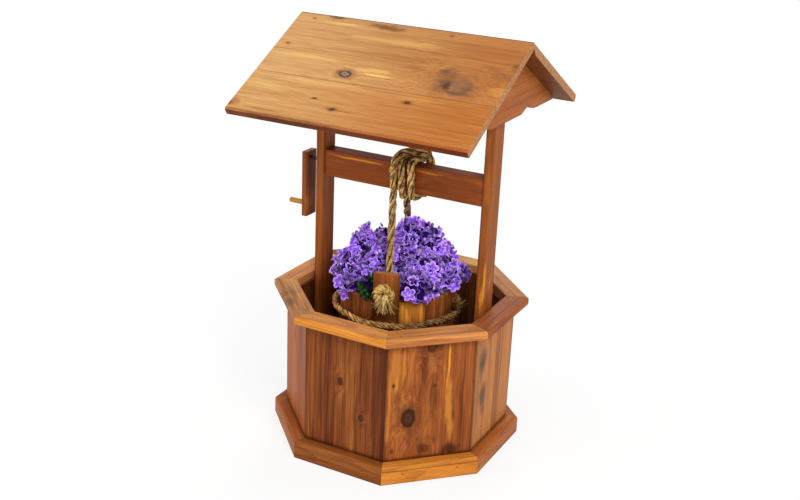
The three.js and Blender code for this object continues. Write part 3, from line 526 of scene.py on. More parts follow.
# Painted shade: what is left of the boards' colour on their undersides
UNDERSIDE_SHADE = (0.40, 0.24, 0.15)
ROOF_BOARDS = {
    "roof_front_upper": {
        "knots": ((-65, -141, 786, 8, 0.9), (-228, -87, 816, 2.2, 0.9), (-163, -3, 863, 4, 0.6),
                  (162, -128, 793, 20, 0.2), (-213, -13, 858, 1.5, 0.8), (92, -12, 858, 2.5, 0.6)),
        "marks": ((162, -130, 792, 46, 30, GREY, 0.8), (133, -120, 797, 22, 44, SMOKE, 0.5),
                  (144, -132, 791, 9, 14, BLOT, 0.75), (134, -108, 804, 6, 12, RUSSET, 0.5),
                  (124, -98, 810, 13, 8, SMOKE, 0.7), (182, -134, 790, 12, 12, SMOKE, 0.35),
                  (168, -146, 784, 30, 5, SMOKE, 0.5), (-80, -137, 788, 8, 5, BLOT, 0.5),
                  (251, -64, 829, 14, 14, SMOKE, 0.55), (228, -92, 813, 30, 12, SMOKE, 0.3),
                  (-49, -13, 858, 44, 11, BLOT, 0.66), (-30, -30, 848, 60, 10, RUSSET, 0.35),
                  (-163, -3, 863, 24, 4, BLOT, 0.7), (0, -134, 790, 44, 2.8, YELLOW, 0.95),
                  (-20, -124, 796, 60, 7, YELLOW, 0.4), (-172, -113, 802, 90, 6, YELLOW, 0.2),
                  (-62, -45, 840, 70, 5, YELLOW, 0.25), (-140, -18, 855, 50, 4, YELLOW, 0.35),
                  (30, -46, 840, 60, 14, YELLOW, 0.3), (246, -127, 794, 20, 14, YELLOW, 0.25),
                  (200, -40, 843, 120, 26, RUSSET, 0.3), (-120, -95, 812, 130, 5, RUSSET, 0.2),
                  (60, -80, 820, 120, 6, RUSSET, 0.3)),
        # The fade paints a sheen on the roof's left and less light on its right
        "light_and_tone_fade": (-250, 240, (1.30, 1.56, 2.0), (0.90, 0.76, 0.64)), "streaks": 0.12, "smudges": 0.04,
        "pith": (110, 70, 0.03), "wave": 14, "heart": (0.30, 0.20, 0.13), "contrast": 0.6},
    "roof_front_lower": {
        "knots": ((-89, -209, 749, 2.2, 0.8), (-41, -226, 739, 3, 0.8), (91, -184, 762, 3.2, 0.8)),
        "marks": ((-20, -228, 738, 46, 3, BLOT, 0.3), (-41, -226, 739, 16, 4, BLOT, 0.45),
                  (91, -184, 762, 18, 4, BLOT, 0.4), (-89, -209, 749, 14, 3, BLOT, 0.35),
                  (-205, -195, 756, 70, 14, YELLOW, 0.2), (-90, -170, 770, 120, 7, YELLOW, 0.2),
                  (112, -173, 769, 60, 6, YELLOW, 0.3), (-248, -244, 729, 17, 15, RUSSET, 0.9),
                  (-254, -250, 725, 9, 8, BLOT, 0.7), (-180, -252, 724, 60, 3, BLOT, 0.35),
                  # The dark band and line along the eave's lower edge paint its shade
                  (0, -264, 718, 500, 6, RUSSET, 0.85), (-150, -264, 718, 160, 3, BLOT, 0.5),
                  (120, -235, 734, 150, 12, RUSSET, 0.3)),
        "light_and_tone_fade": (-250, 240, (1.18, 1.44, 1.85), (0.84, 0.66, 0.48)), "streaks": 0.08, "warmth": 1.06,
        "smudges": 0.03, "pith": (240, 60, 0.02), "wave": 12, "contrast": 0.6},
    "roof_back_upper": {"knots": ((60, 120, 798, 9, 0.8), (-150, 60, 832, 5, 0.8)), "streaks": 0.9, "wave": 16,
                        "contrast": 0.8},
    "roof_back_lower": {"knots": ((-60, 200, 754, 5, 0.8), (130, 225, 740, 4, 0.8)), "streaks": 0.2, "wave": 16,
                        "contrast": 0.8},
}


def dress_roof():
    for name, options in ROOF_BOARDS.items():
        side = 1 if "front" in name else -1
        out = Vector((0, -side * math.sin(ROOF_PITCH), math.cos(ROOF_PITCH)))
        board(name, (side, 0, 0), out, RIDGE, "golden", under=UNDERSIDE_SHADE, **options)
    for name, side in (("gable_left", -1), ("gable_right", 1)):
        board(name, (0, side, 0), (side, 0, 0), (side * 211, 0, 760), "calm", smudges=0.12, pith=(0, 55, 0.04),
              wave=14, ends=0, shade=1.24, warmth=0.95, contrast=0.65)


def dress_frame():
    board("post_left", UP, (1, 0, 0), (-180, 0, 0), "calm", streaks=0.05, smudges=0.15, wave=10, shade=0.88,
          warmth=1.06)
    board("post_right", UP, (0, -1, 0), (190, -22, 0), "calm", smudges=0.12, wave=10, shade=0.88,
          marks=((197, -22, 376, 56, 2.6, SAP, 0.9), (193, -22, 342, 34, 5, SAP, 0.8),
                 # The long dark streak on the left of the front face paints its shade
                 (181, -22, 480, 240, 4, DEEP, 0.6)))
    board("crossbeam", (1, 0, 0), (0, -1, 0), (0, -19, 564), "heart", wave=10, warmth=1.18, shade=1.05,
          contrast=0.5, pith=(0, 45, 0.03), smudges=0.1,
          marks=((-95, -19, 583, 60, 3.2, SAP, 0.9), (-150, -19, 584, 30, 2.5, ORANGE, 0.6),
                 (60, -19, 584, 40, 3, SAP, 0.5), (120, -19, 562, 90, 30, DEEP, 0.5)))
    # inside=0.6 paints shade on the arm's side by the post
    board("crank_arm", UP, (0, -1, 0), (-230, -19, 500), "calm", smudges=0.3, inside=0.6, shade=1.08, warmth=0.93,
          marks=((-222, -19, 468, 34, 5, ORANGE, 0.8),))
    board("crank_handle", (1, 0, 0), (0, -1, 0), (-250, 0, 460), "dowel", smudges=0.0)


# The bucket: its axis, the front ear's turn, how many staves and ears, and the place of a stave's grain, in mm
BUCKET = Vector((-8, 0, 0)) * MM
EAR_TURN = -72.9
STAVES = 14
STAVE_STEP = 360 / STAVES
STAVE_FACE = 120
STAVE_HEIGHT = 258
STAVE_HALF = 27
# The ears' line paints shade under the knot and its hanging end
EAR_OPTIONS = {"streaks": 0.05, "pith": (0, 80, 0.02), "shade": 0.7, "warmth": 1.08, "wave": 8,
               "shade_lines": ((298, 50, 0.75),)}
# Darker grain lines on the orange stave beside the front ear
STAVE_LINES = ((62, -99, 300, 60, 3, RUSSET, 0.7), (69, -92, 300, 60, 1.4, RUSSET, 0.4),
               (79, -83, 300, 60, 1.4, RUSSET, 0.4), (84, -78, 300, 60, 1.2, DEEP, 0.5))
PLAIN_STAVE = {"shade": 1.1}
STAVE_OPTIONS = {
    1: {"sap": (1, -60), "shade": 1.32, "warmth": 1.1, "marks": STAVE_LINES},
    2: {"shade": 1.22}, 5: {"sap": (-1, 0)}, 9: {"sap": (1, 6)}, 11: {"shade": 1.45, "warmth": 1.05},
    12: {"shade": 0.92, "warmth": 1.06},
}


def dress_bucket():
    ears = {0: "bucket_ear_front", STAVES // 2: "bucket_ear_back"}
    number = 1
    for index in range(STAVES):
        out = radial(EAR_TURN + index * STAVE_STEP)
        if index in ears:
            name, tone, options = ears[index], "calm", EAR_OPTIONS
        else:
            name, tone, options = f"bucket_stave_{number}", "heart", STAVE_OPTIONS.get(number, PLAIN_STAVE)
            number += 1
        # The staves' line at 284 paints shade about the hoop
        board(name, UP, out, BUCKET / MM + out * STAVE_FACE + UP * STAVE_HEIGHT, tone, half=STAVE_HALF,
              smudges=0.1, **{"shade_lines": ((284, 20, 0.5),), **options})
    board("bucket_bottom", (1, 0, 0), -UP, (0, 0, 190), "heart")


# Other materials

def speckled(name, scale, detail, edges, colors, rough, uneven=0.55, relief=None, metallic=0.0):
    """Two colours that meet in specks. rough is a number, or a span over the specks."""
    material, tree = new_material(name)
    specks = grain_noise(object_place(tree), scale, detail, uneven)
    if not is_number(rough):
        rough = span(specks, *rough)
    finish(mix(span(specks, *edges), *colors), rough, bump=relief and (specks, *relief),
           also={"Metallic": metallic})
    return material


def rope_material(name, light, middle, dark, left_painted_light=1.0, right_painted_light=1.0):
    """Yarns wind round each strand, each of its own tone; fibres roughen them, and the valleys take painted shade.
    """
    material, tree = new_material(name)
    lay = split(node("UVMap", tree=tree, uv_map="lay"))
    place = object_place(tree)
    phase = lay["X"] + grain_noise(place, 240.0, 3.0, 0.6) * 0.7
    yarn = reckon("SINE", phase * math.tau)
    number = reckon("FLOORED_MODULO", reckon("FLOOR", phase + 0.25), 6.0)
    own = node("TexWhiteNoise", {"W": number}, noise_dimensions="1D")
    fibres = grain_noise(place * 120.0 + node("CombineXYZ", {"X": phase * 3.0}), 1.6, 3.0, 0.7)
    tone = own * 0.45 + span(grain_noise(place, 95.0, 3.0), 0.32, 0.68) * 0.55
    color = mix(span(tone, 0.1, 0.5), dark, middle)
    color = mix(span(tone, 0.45, 0.85), color, light)
    # Light flecks on the fibres: painted highlights
    color = mix(span(fibres, 0.55, 0.68, 0.0, 0.8), color, (0.90, 0.72, 0.40))
    color = mix(span(fibres, 0.46, 0.32, 0.0, 0.8), color, (0.055, 0.024, 0.007))
    # Painted shade in the grooves between the yarns
    color = mix(span(yarn, -0.4, -1.0, 0.0, 0.5), color, (0.08, 0.035, 0.010))
    where = split(place)
    # Painted light: the rope lighter with height up on the beam, and its lightness changed from left to right by two
    # shares
    gain = span(where["Z"], 0.46, 0.56, 1.0, 1.5) * span(where["X"], -0.12, 0.11, left_painted_light, right_painted_light)
    # Painted shade in the valleys between the strands, by how deep a point lies in the rope
    color = mix(span(lay["Y"], 0.84, 0.6, 0.0, 0.92), color * gain, (0.03, 0.012, 0.003))
    finish(color, 0.75, 0.2, bump=(yarn + fibres * 1.6, 0.8, 0.0008))
    return material


def tone_material(name, stops, rough, patch_scale, also=None, relief=None):
    """Petals and leaves: the tone map holds the way out from the base, and how light this one is, in part painted
    light.
    """
    material, tree = new_material(name)
    tone = split(node("UVMap", tree=tree, uv_map="tone"))
    ramp = node("ValToRGB", {0: tone["X"]})
    elements = ramp.socket.node.color_ramp.elements
    while len(elements) < len(stops):
        elements.new(0.5)
    for element, (at, color) in zip(elements, stops):
        element.position, element.color = at, (*color, 1)
    patches = grain_noise(object_place(tree), patch_scale, 3.0)
    color = ramp * span(tone["Y"], 0, 1, 0.4, 2.0, False) * span(patches, 0.2, 0.8, 0.82, 1.16, False)
    finish(color, rough, 0.1, bump=relief and (patches, *relief), also=also)
    return material


# Mesh helpers

def around(turn, first, second):
    """The way that lies turned from the first direction towards the second."""
    return first * math.cos(turn) + second * math.sin(turn)


def stray(rng, spread):
    return Vector([rng.gauss(0, spread) for _ in range(3)])


def ring_faces(rings, sides):
    """The faces between rings of points that follow one another."""
    return [(low + side, low + (side + 1) % sides, low + sides + (side + 1) % sides, low + sides + side)
            for low in range(0, (rings - 1) * sides, sides) for side in range(sides)]


def level_ring(radius, height, sides):
    return [radial(360 * side / sides) * radius + UP * height for side in range(sides)]


class Heap:
    """Vertices, faces and a two-number map for each face's corners, gathered for a single mesh."""

    def __init__(self):
        self.points, self.faces, self.corners = [], [], []

    def add(self, points, faces, values=None, corners=None):
        """values holds one map entry for each point; corners, where given, one for each corner of each face."""
        first = len(self.points)
        self.points.extend(points)
        for index, face in enumerate(faces):
            self.faces.append([first + corner for corner in face])
            self.corners.extend(corners[index] if corners else [values[corner] for corner in face])

    def build(self, name, material, map_name):
        mesh = bpy.data.meshes.new(name)
        mesh.from_pydata(self.points, [], self.faces)
        layer = mesh.uv_layers.new(name=map_name)
        layer.data.foreach_set("uv", [part for corner in self.corners for part in corner])
        mesh.materials.append(material)
        mesh.polygons.foreach_set("use_smooth", [True] * len(mesh.polygons))
        return add_object(name, mesh)


def carried(pieces, body):
    """Each piece rides on a body."""
    for piece in pieces:
        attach(piece, body)


def thicken(piece, thickness):
    solid = piece.modifiers.new("thickness", "SOLIDIFY")
    solid.thickness, solid.offset = thickness, 0
    return piece


def smooth_path(points, step):
    """Points at an even step along a smooth curve through the given ones."""
    last = len(points) - 1
    dense = []
    for index in range(last):
        a, b, c, d = (points[min(max(index + offset, 0), last)] for offset in (-1, 0, 1, 2))
        for part in range(8):
            t = part / 8
            dense.append(0.5 * ((2 * b) + (c - a) * t + (2 * a - 5 * b + 4 * c - d) * t * t
                                + (3 * b - a - 3 * c + d) * t * t * t))
    dense.append(points[-1])
    lengths = [0.0]
    for here, there in zip(dense, dense[1:]):
        lengths.append(lengths[-1] + (there - here).length)
    number = max(2, round(lengths[-1] / step))
    even, at = [], 0
    for index in range(number + 1):
        target = lengths[-1] * index / number
        while at < len(lengths) - 2 and lengths[at + 1] < target:
            at += 1
        width = lengths[at + 1] - lengths[at] or 1
        even.append(dense[at].lerp(dense[at + 1], (target - lengths[at]) / width))
    return even


def path_frames(path):
    """For each point of a path the way ahead, a normal carried along without twist, and the way across both."""
    frames = []
    normal = (path[1] - path[0]).orthogonal().normalized()
    for index in range(len(path)):
        ahead = path[min(index + 1, len(path) - 1)] - path[max(index - 1, 0)]
        ahead.normalize()
        normal = (normal - ahead * normal.dot(ahead)).normalized()
        frames.append((ahead, normal, ahead.cross(normal)))
    return frames


def sweep(heap, path, radii, sides, yarns=2, twist=18, middle=None, reach=1.0):
    """A closed round tube along a path. Its map holds the yarns' phase, and how far out of the rope a point lies."""
    points, deep, way = [], [], [0.0]
    for index, (point, radius, (_, normal, across)) in enumerate(zip(path, radii, path_frames(path))):
        if index:
            way.append(way[-1] + (point - path[index - 1]).length)
        for side in range(sides):
            points.append(point + around(math.tau * side / sides, normal, across) * radius)
            deep.append((points[-1] - middle[index]).length / reach if middle else 0.9)

    def corner(index, side):
        return (yarns * side / sides + twist * way[index], deep[index * sides + side % sides])

    last = len(path) - 1
    faces = ring_faces(len(path), sides)
    corners = [(corner(index, side), corner(index, side + 1), corner(index + 1, side + 1), corner(index + 1, side))
               for index in range(last) for side in range(sides)]
    for index, order in ((0, range(sides - 1, -1, -1)), (last, range(sides))):
        faces.append(tuple(index * sides + side for side in order))
        corners.append([corner(index, side) for side in order])
    heap.add(points, faces, corners=corners)


STRANDS = 3
STRAND_SIDES = 10


def lay_rope(heap, path, radius, pitch, taper=None):
    """A rope of three strands, laid round the path a little unevenly."""
    frames = path_frames(path)
    step = (path[-1] - path[-2]).length
    for strand in range(STRANDS):
        route, radii = [], []
        for index, (point, (_, normal, across)) in enumerate(zip(path, frames)):
            way = index * step
            slack = noise.noise(Vector((way * 28, radius * 900, pitch * 40))) * 0.7
            lump = 1 + 0.16 * noise.noise(Vector((way * 75, strand * 7.3, radius * 500)))
            here = radius * (taper(index / (len(path) - 1)) if taper else 1)
            turn = math.tau * (strand / STRANDS + way / pitch) + slack
            route.append(point + around(turn, normal, across) * here * 0.5)
            radii.append(here * 0.5 * lump)
        sweep(heap, route, radii, STRAND_SIDES, 6, -52, path, radius)


FIBRE_STEPS = 5


def strand_of_fibre(heap, start, along, length, radius, rng, wander=0.25, sides=3):
    """One loose fibre: a thin tapering tube that wanders off its first heading."""
    path, heading = [start.copy()], along.normalized()
    drift = stray(rng, wander)
    for _ in range(FIBRE_STEPS):
        heading = (heading + drift * 0.4 + stray(rng, wander * 0.4)).normalized()
        path.append(path[-1] + heading * length / FIBRE_STEPS)
    radii = [radius * (1 - 0.6 * index / FIBRE_STEPS) for index in range(FIBRE_STEPS + 1)]
    sweep(heap, path, radii, sides)


# Rope

# The rope's middle line, in millimetres, worked out from the measures of the beam, the ears and the rope
BEAM_DEPTH = 38
BEAM_HEIGHT = 56
BEAM_TOP = 592
ROPE_WIDTH = 16
ROPE_GAP = 0.3
RIDE_SLACK = 0.8
# Where the rope is along the beam as it passes the middle of each upright face, front and back in turn
WINDING_STATIONS = (-12, 40, 27, 16, 6, -9)
FACE_STEPS = 3
CORNER_STEPS = 3
# The steps of a level stretch, with its two corners, that only the riding turn needs
RIDING_STEPS = (1, 3, 6, 8)
# Where the riding turn begins on the front face and ends on the back one, and how much of it rises or comes down
RIDE_START_SHARE = 0.35
RIDE_END_SHARE = 0.45
RIDE_RAMP_SHARE = 0.3
# The falls: where the winding passes into them, where their curve starts, and their steps and bends
FALL_TOP = 529
FALL_START = 528.55
FALL_STEPS = 12
FALL_FINE = 200
BEND_RADIUS = 9.5
BEND_STEPS = 3
BUCKET_SHIFT = -8
STAVES_AROUND = 14
STAVE_WIDTH = 54.8
STAVE_THICKNESS = 14
EAR_HEIGHT = 393
EAR_HOLE = 356
KNOT_REACH = 15
ROUTE_DIGITS = 1
WRAP_OFF = ROPE_WIDTH / 2 + ROPE_GAP
WRAP_ARC = math.pi / 2 * WRAP_OFF
WRAP_SIDES = (BEAM_HEIGHT, BEAM_DEPTH, BEAM_HEIGHT, BEAM_DEPTH)
WRAP_LENGTH = sum(WRAP_SIDES) + len(WRAP_SIDES) * WRAP_ARC


def eased(share):
    share = min(max(share, 0), 1)
    return share * share * (3 - 2 * share)


def wrap_place(way, lift):
    """Where the rope is in y and z a given way round the beam, from the lower front corner upwards."""
    low, half, off = BEAM_TOP - BEAM_HEIGHT, BEAM_DEPTH / 2, WRAP_OFF + lift
    corners = ((-half, low), (-half, BEAM_TOP), (half, BEAM_TOP), (half, low))
    rest = way % WRAP_LENGTH
    for side, (y, z) in enumerate(corners):
        heading = math.pi / 2 * (1 - side)
        outward = heading + math.pi / 2
        if rest <= WRAP_SIDES[side]:
            return (y + rest * math.cos(heading) + off * math.cos(outward),
                    z + rest * math.sin(heading) + off * math.sin(outward))
        rest -= WRAP_SIDES[side]
        if rest <= WRAP_ARC:
            y, z = corners[(side + 1) % len(corners)]
            turned = outward - rest / WRAP_OFF
            return y + off * math.cos(turned), z + off * math.sin(turned)
        rest -= WRAP_ARC
    return wrap_place(0, lift)


def winding_ways():
    """The ways round the beam at which the winding has a point."""
    ways, way = [], 0
    faces = 2 * len(WINDING_STATIONS) - 1
    for side in range(faces):
        stretches = [(WRAP_SIDES[side % len(WRAP_SIDES)], FACE_STEPS)]
        if side < faces - 1:
            stretches.append((WRAP_ARC, CORNER_STEPS))
        for length, steps in stretches:
            ways += [way + length * step / steps for step in range(steps)]
            way += length
    return ways + [way]


def winding_route():
    """The turns on the beam: the first one rides over the later ones."""
    first, last = BEAM_HEIGHT / 2, len(WINDING_STATIONS) - 1
    ride_start = BEAM_HEIGHT * RIDE_START_SHARE
    ride_end = BEAM_HEIGHT + 2 * WRAP_ARC + BEAM_DEPTH + BEAM_HEIGHT * RIDE_END_SHARE
    ramp = (ride_end - ride_start) * RIDE_RAMP_SHARE
    turn_steps = 2 * (FACE_STEPS + CORNER_STEPS)
    points = []
    for index, way in enumerate(winding_ways()):
        if index >= turn_steps and (index - FACE_STEPS) % turn_steps in RIDING_STEPS:
            continue
        share = min(max((way - first) / (WRAP_LENGTH / 2), 0), last)
        station = min(int(share), last - 1)
        here, there = WINDING_STATIONS[station:station + 2]
        lift = (ROPE_WIDTH + RIDE_SLACK) * eased((way - ride_start) / ramp) * eased((ride_end - way) / ramp)
        points.append((here + (there - here) * eased(share - station), *wrap_place(way, lift)))
    return [(*points[0][:2], FALL_TOP), *points, (*points[-1][:2], FALL_TOP)]


def centripetal(guides, share):
    """A point of the centripetal curve through the guides."""
    last = len(guides) - 1
    piece = min(int(share * last), last - 1)
    t = share * last - piece
    a, b, c, d = [2 * guides[0] - guides[1], *guides, 2 * guides[-1] - guides[-2]][piece:piece + 4]
    before, during, after = (math.sqrt((to - start).length) for start, to in ((a, b), (b, c), (c, d)))
    leave = ((b - a) / before - (c - a) / (before + during) + (c - b) / during) * during
    arrive = ((c - b) / during - (d - b) / (during + after) + (d - c) / after) * during
    return b + leave * t + (3 * (c - b) - 2 * leave - arrive) * t * t + (2 * (b - c) + leave + arrive) * t ** 3


def evenly_along(guides, count):
    """Points at an even step along the centripetal curve."""
    fine = [centripetal(guides, part / FALL_FINE) for part in range(FALL_FINE + 1)]
    lengths = [0.0]
    for here, there in zip(fine, fine[1:]):
        lengths.append(lengths[-1] + (there - here).length)
    points = []
    for number in range(count + 1):
        target = lengths[-1] * number / count
        at = min(bisect.bisect_right(lengths, target), FALL_FINE) - 1
        beyond = (target - lengths[at]) / (lengths[at + 1] - lengths[at])
        points.append(centripetal(guides, (at + beyond) / FALL_FINE))
    return points


def fall_route(side, station):
    """A fall, from under the winding to an ear, round the edge of its hole and out to the knot."""
    turn = math.radians(EAR_TURN) if side < 0 else math.radians(EAR_TURN + 180)
    outer = STAVE_WIDTH / 2 / math.tan(math.pi / STAVES_AROUND)
    bend = outer - STAVE_THICKNESS - ROPE_GAP
    inside = bend - BEND_RADIUS

    def at_ear(radius, height):
        return Vector((radius * math.cos(turn), radius * math.sin(turn), height))

    top = Vector((station - BUCKET_SHIFT, side * (BEAM_DEPTH / 2 + WRAP_OFF), FALL_START))
    guides = [top, top - Vector((0, 0, ROPE_WIDTH)), (top + at_ear(inside, EAR_HEIGHT)) / 2,
              at_ear(inside - ROPE_GAP, EAR_HEIGHT), at_ear(inside, EAR_HOLE + BEND_RADIUS + ROPE_WIDTH / 2)]
    points = evenly_along(guides, FALL_STEPS)
    for step in range(BEND_STEPS + 1):
        bent = math.pi / 2 * step / BEND_STEPS
        points.append(at_ear(bend - BEND_RADIUS * math.cos(bent), EAR_HOLE + BEND_RADIUS * (1 - math.sin(bent))))
    points.append(at_ear(outer + KNOT_REACH, EAR_HOLE))
    return [(point.x + BUCKET_SHIFT, point.y, point.z) for point in points[1:]]


def rope_route():
    """The front ear, the front fall, the winding, the back fall and the back ear."""
    front, back = fall_route(-1, WINDING_STATIONS[0]), fall_route(1, WINDING_STATIONS[-1])
    route = [*reversed(front), *winding_route(), *back]
    return [tuple(round(measure, ROUTE_DIGITS) for measure in point) for point in route]


ROPE_ROUTE = rope_route()
ROPE_RADIUS = 8 * MM
ROPE_PITCH = 96 * MM
ROPE_STEP = 1.5 * MM
# A loose turn that lies on the beam under the arch of the riding one
TUCK_ROUTE = ((18, -12, 602), (27.5, -2, 604.5), (33.5, 12, 605), (36.5, 26, 600), (38, 35, 588), (38, 36, 574))
TUCK_RADIUS = 9.8 * MM
FUZZ_RADIUS = 0.16 * MM


def rope_points(route):
    return [Vector(point) * MM for point in route]


def fuzz_along(heap, path, radius, count, rng, length=(4, 11)):
    """Short loose fibres that stand off a rope."""
    frames = path_frames(path)
    for _ in range(count):
        index = rng.randrange(2, len(path) - 2)
        ahead, normal, across = frames[index]
        off = around(rng.uniform(0, math.tau), normal, across)
        heading = ahead * rng.choice((-1, 1)) + off * rng.uniform(0.15, 0.7)
        strand_of_fibre(heap, path[index] + off * radius * 0.9, heading, rng.uniform(*length) * MM, FUZZ_RADIUS, rng)


def build_rope(rope, fibre):
    rng = random.Random("rope")
    heap, fuzz = Heap(), Heap()
    path = smooth_path(rope_points(ROPE_ROUTE), ROPE_STEP)
    lay_rope(heap, path, ROPE_RADIUS, ROPE_PITCH)
    lay_rope(heap, smooth_path(rope_points(TUCK_ROUTE), ROPE_STEP), TUCK_RADIUS, ROPE_PITCH)
    run = heap.build("rope_run", rope, "lay")
    fuzz_along(fuzz, path, ROPE_RADIUS, 520, rng)
    loose = fuzz.build("rope_run_fuzz", fibre, "lay")
    for piece in (run, loose):
        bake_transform(piece)
    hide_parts("rope_winding", "rope_front", "rope_back")


# The knots, in millimetres: where their middles are, the outer turn's reach, its first and last angle, its shift
KNOT_OUT = 135.4
KNOT_HEIGHT = 356
KNOT_TURN = 14.2
KNOT_ARC = (258, -62)
KNOT_SHIFT = (-1.5, -3)
KNOT_STEPS = 40
KNOT_CORE = ((-7, 0, 9), (-4, 1, 6), (-1, 3, 2), (1, 3, -4), (1, 2, -9))
KNOT_PITCH = 27 * MM
KNOT_STEP = 1.3 * MM
KNOT_ROPE = 8.8 * MM
KNOT_INNER_ROPE = 6 * MM
YARNS = 34


def knot_path():
    """The knot's outer turn as it shows from outside: from its foot on the left, over the top, down on the right."""
    points = []
    for index in range(KNOT_STEPS + 1):
        share = index / KNOT_STEPS
        angle = math.radians(KNOT_ARC[0] + (KNOT_ARC[1] - KNOT_ARC[0]) * share)
        reach = KNOT_TURN * (1 + 0.06 * math.sin(5 * angle))
        points.append((-1.5 + 3.2 * math.sin(math.pi * share), reach * math.cos(angle) + KNOT_SHIFT[0],
                       reach * math.sin(angle) * 1.08 + KNOT_SHIFT[1]))
    return points


def build_knot(name, turn, rope, fibre):
    """A stopper knot: a turn of rope closed about the end, whose yarns fan out of its middle and hang down."""
    rng = random.Random(name)
    heap, ends, fuzz = Heap(), Heap(), Heap()
    out = radial(turn)
    side = UP.cross(out)
    place = Matrix((out, side, UP)).transposed().to_4x4()
    place.translation = BUCKET + out * KNOT_OUT * MM + UP * KNOT_HEIGHT * MM

    def at(*point):
        return place @ (Vector(point) * MM)

    path = smooth_path([at(*point) for point in knot_path()], KNOT_STEP)
    lay_rope(heap, path, KNOT_ROPE, KNOT_PITCH, taper=lambda share: 1.06 - 0.36 * share ** 3)
    lay_rope(heap, smooth_path([at(*point) for point in KNOT_CORE], KNOT_STEP), KNOT_INNER_ROPE, KNOT_PITCH)
    # The end's yarns, then shorter ones at the left, then thin fibres
    for index in range(YARNS):
        spread = -1 + 2 * (index + rng.uniform(0, 1)) / YARNS
        depth = rng.uniform(-1, 1)
        start = at(3.5 + depth * 2.5, 2.5 + spread * 4.2, -2 + rng.uniform(-3, 2))
        heading = side * spread * rng.uniform(0.3, 0.5) - UP + out * (0.2 + depth * 0.12)
        strand_of_fibre(ends, start, heading, rng.uniform(31, 42) * MM, rng.uniform(1.1, 1.8) * MM, rng,
                        wander=0.2, sides=6)
    for _ in range(16):
        spread = rng.uniform(-1, -0.3)
        start = at(rng.uniform(1, 6), spread * 10, -15 + rng.uniform(-3, 3))
        heading = side * spread * 0.9 - UP * 0.7 + out * rng.uniform(0, 0.4)
        strand_of_fibre(ends, start, heading, rng.uniform(9, 15) * MM, rng.uniform(0.7, 1.2) * MM, rng,
                        wander=0.25, sides=5)
    for _ in range(34):
        spread = rng.uniform(-1, 1)
        start = at(rng.uniform(-1, 7), spread * 8, rng.uniform(-12, -4))
        heading = side * spread * 0.8 - UP + out * rng.uniform(0, 0.4)
        strand_of_fibre(fuzz, start, heading, rng.uniform(22, 34) * MM, 0.2 * MM, rng, wander=0.3)
    fuzz_along(fuzz, path, KNOT_ROPE, 80, rng, (4, 9))
    carried((heap.build(name, rope, "lay"), ends.build(name + "_end", rope, "lay"),
             fuzz.build(name + "_fuzz", fibre, "lay")), "bucket")


# The hoop: where its ends meet and how far they pass each other, in degrees, and its ring, in millimetres
HOOP_START = 8
HOOP_TURN = 360 + 14
HOOP_STEPS = 96
HOOP_RADIUS = 6.5 * MM
HOOP_PITCH = 44 * MM
HOOP_RING = 129.9
HOOP_HEIGHT = 285.5
# The frayed ends: how many, how far along, the ranges up, out, of length and of radius, how they wander, the sides
FRAYS = ((34, 0.5, (-0.1, 0.7), (0.1, 0.9), (12, 25), (0.5, 1.1), 0.26, 4),
         (7, 0.3, (-0.7, 0.9), (0.5, 1.1), (20, 32), (1.2, 1.9), 0.3, 6))


def build_hoop(rope, fibre):
    """The hoop goes once round the staves, and its two cut ends lie one over the other."""
    rng = random.Random("hoop")
    heap, fuzz = Heap(), Heap()
    course = []
    for index in range(HOOP_STEPS + 1):
        share = index / HOOP_STEPS
        lift = 4.0 * (max(0.0, 1 - share * 9) - max(0.0, 1 - (1 - share) * 9)) * 1.9
        wave = 1.3 * math.sin(share * 23) + 0.8 * math.sin(share * 61)
        out = radial(HOOP_START + share * HOOP_TURN)
        reach = HOOP_RING + 0.3 * math.sin(share * 41)
        course.append(BUCKET + (out * reach + UP * (HOOP_HEIGHT + lift + wave)) * MM)
    path = smooth_path(course, 1.6 * MM)
    lay_rope(heap, path, HOOP_RADIUS, HOOP_PITCH)
    frames = path_frames(path)
    for end, sign in ((0, -1), (len(path) - 1, 1)):
        ahead = frames[end][0] * sign
        out = (path[end] - BUCKET).normalized()
        for count, along, up, outward, length, radius, wander, sides in FRAYS:
            for _ in range(count):
                start = path[end] + stray(rng, 2.2) * MM - ahead * 4 * MM
                heading = ahead * along + UP * rng.uniform(*up) + out * rng.uniform(*outward)
                strand_of_fibre(heap, start, heading, rng.uniform(*length) * MM, rng.uniform(*radius) * MM, rng,
                                wander=wander, sides=sides)
    fuzz_along(fuzz, path, HOOP_RADIUS, 420, rng, (5, 15))
    hoop = heap.build("rope_hoop", rope, "lay")
    loose = fuzz.build("rope_hoop_fuzz", fibre, "lay")
    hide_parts("bucket_hoop")
    carried((hoop, loose), "bucket")


# The plant

# Nothing grows out of the plant's body below this height
GROWTH_FOOT = 0.326
# An ear's top, half its width and its inner face
EAR_TOP = 0.393
EAR_HALF = 0.0275
EAR_FACE = 0.106
FALL_POINTS = [point for point in smooth_path(rope_points(ROPE_ROUTE), 6 * MM) if point.z < 0.51]
PETALS = 5
# For each layer: how many, how far apart, how high the mouths stand, how wide they are and how light;
# the lower layer is darker, painted shade under the upper one
BLOOM_LAYERS = ((430, 14.5, (4, 11), (12.5, 16.5), 0.62), (430, 12.0, (-4, 1), (10, 13), 0.2))
# The highest a bloom's mouth may stand
BLOOM_TOP = 468 * MM
# Where leaves show between the blooms, each spot with its reach: beside the front ear, and small gaps in the mound
BARE_SPOTS = ((-26, -110, 346, 20), (-20, -88, 352, 20), (-22, -104, 330, 20), (-56, -59, 417, 10),
              (-21, -58, 427, 9), (9, -46, 432, 11), (73, -70, 401, 10), (69, -41, 402, 11), (62, 14, 444, 9),
              (110, -68, 359, 9))
# Leaves that hang over the staves there
HANGING_LEAVES = ((-16, -124, 340), (-7, -125, 333), (-12, -122, 346), (-21, -122, 349), (-3, -124, 342),
                  (-10, -126, 338), (-18, -125, 334), (-26, -119, 345))


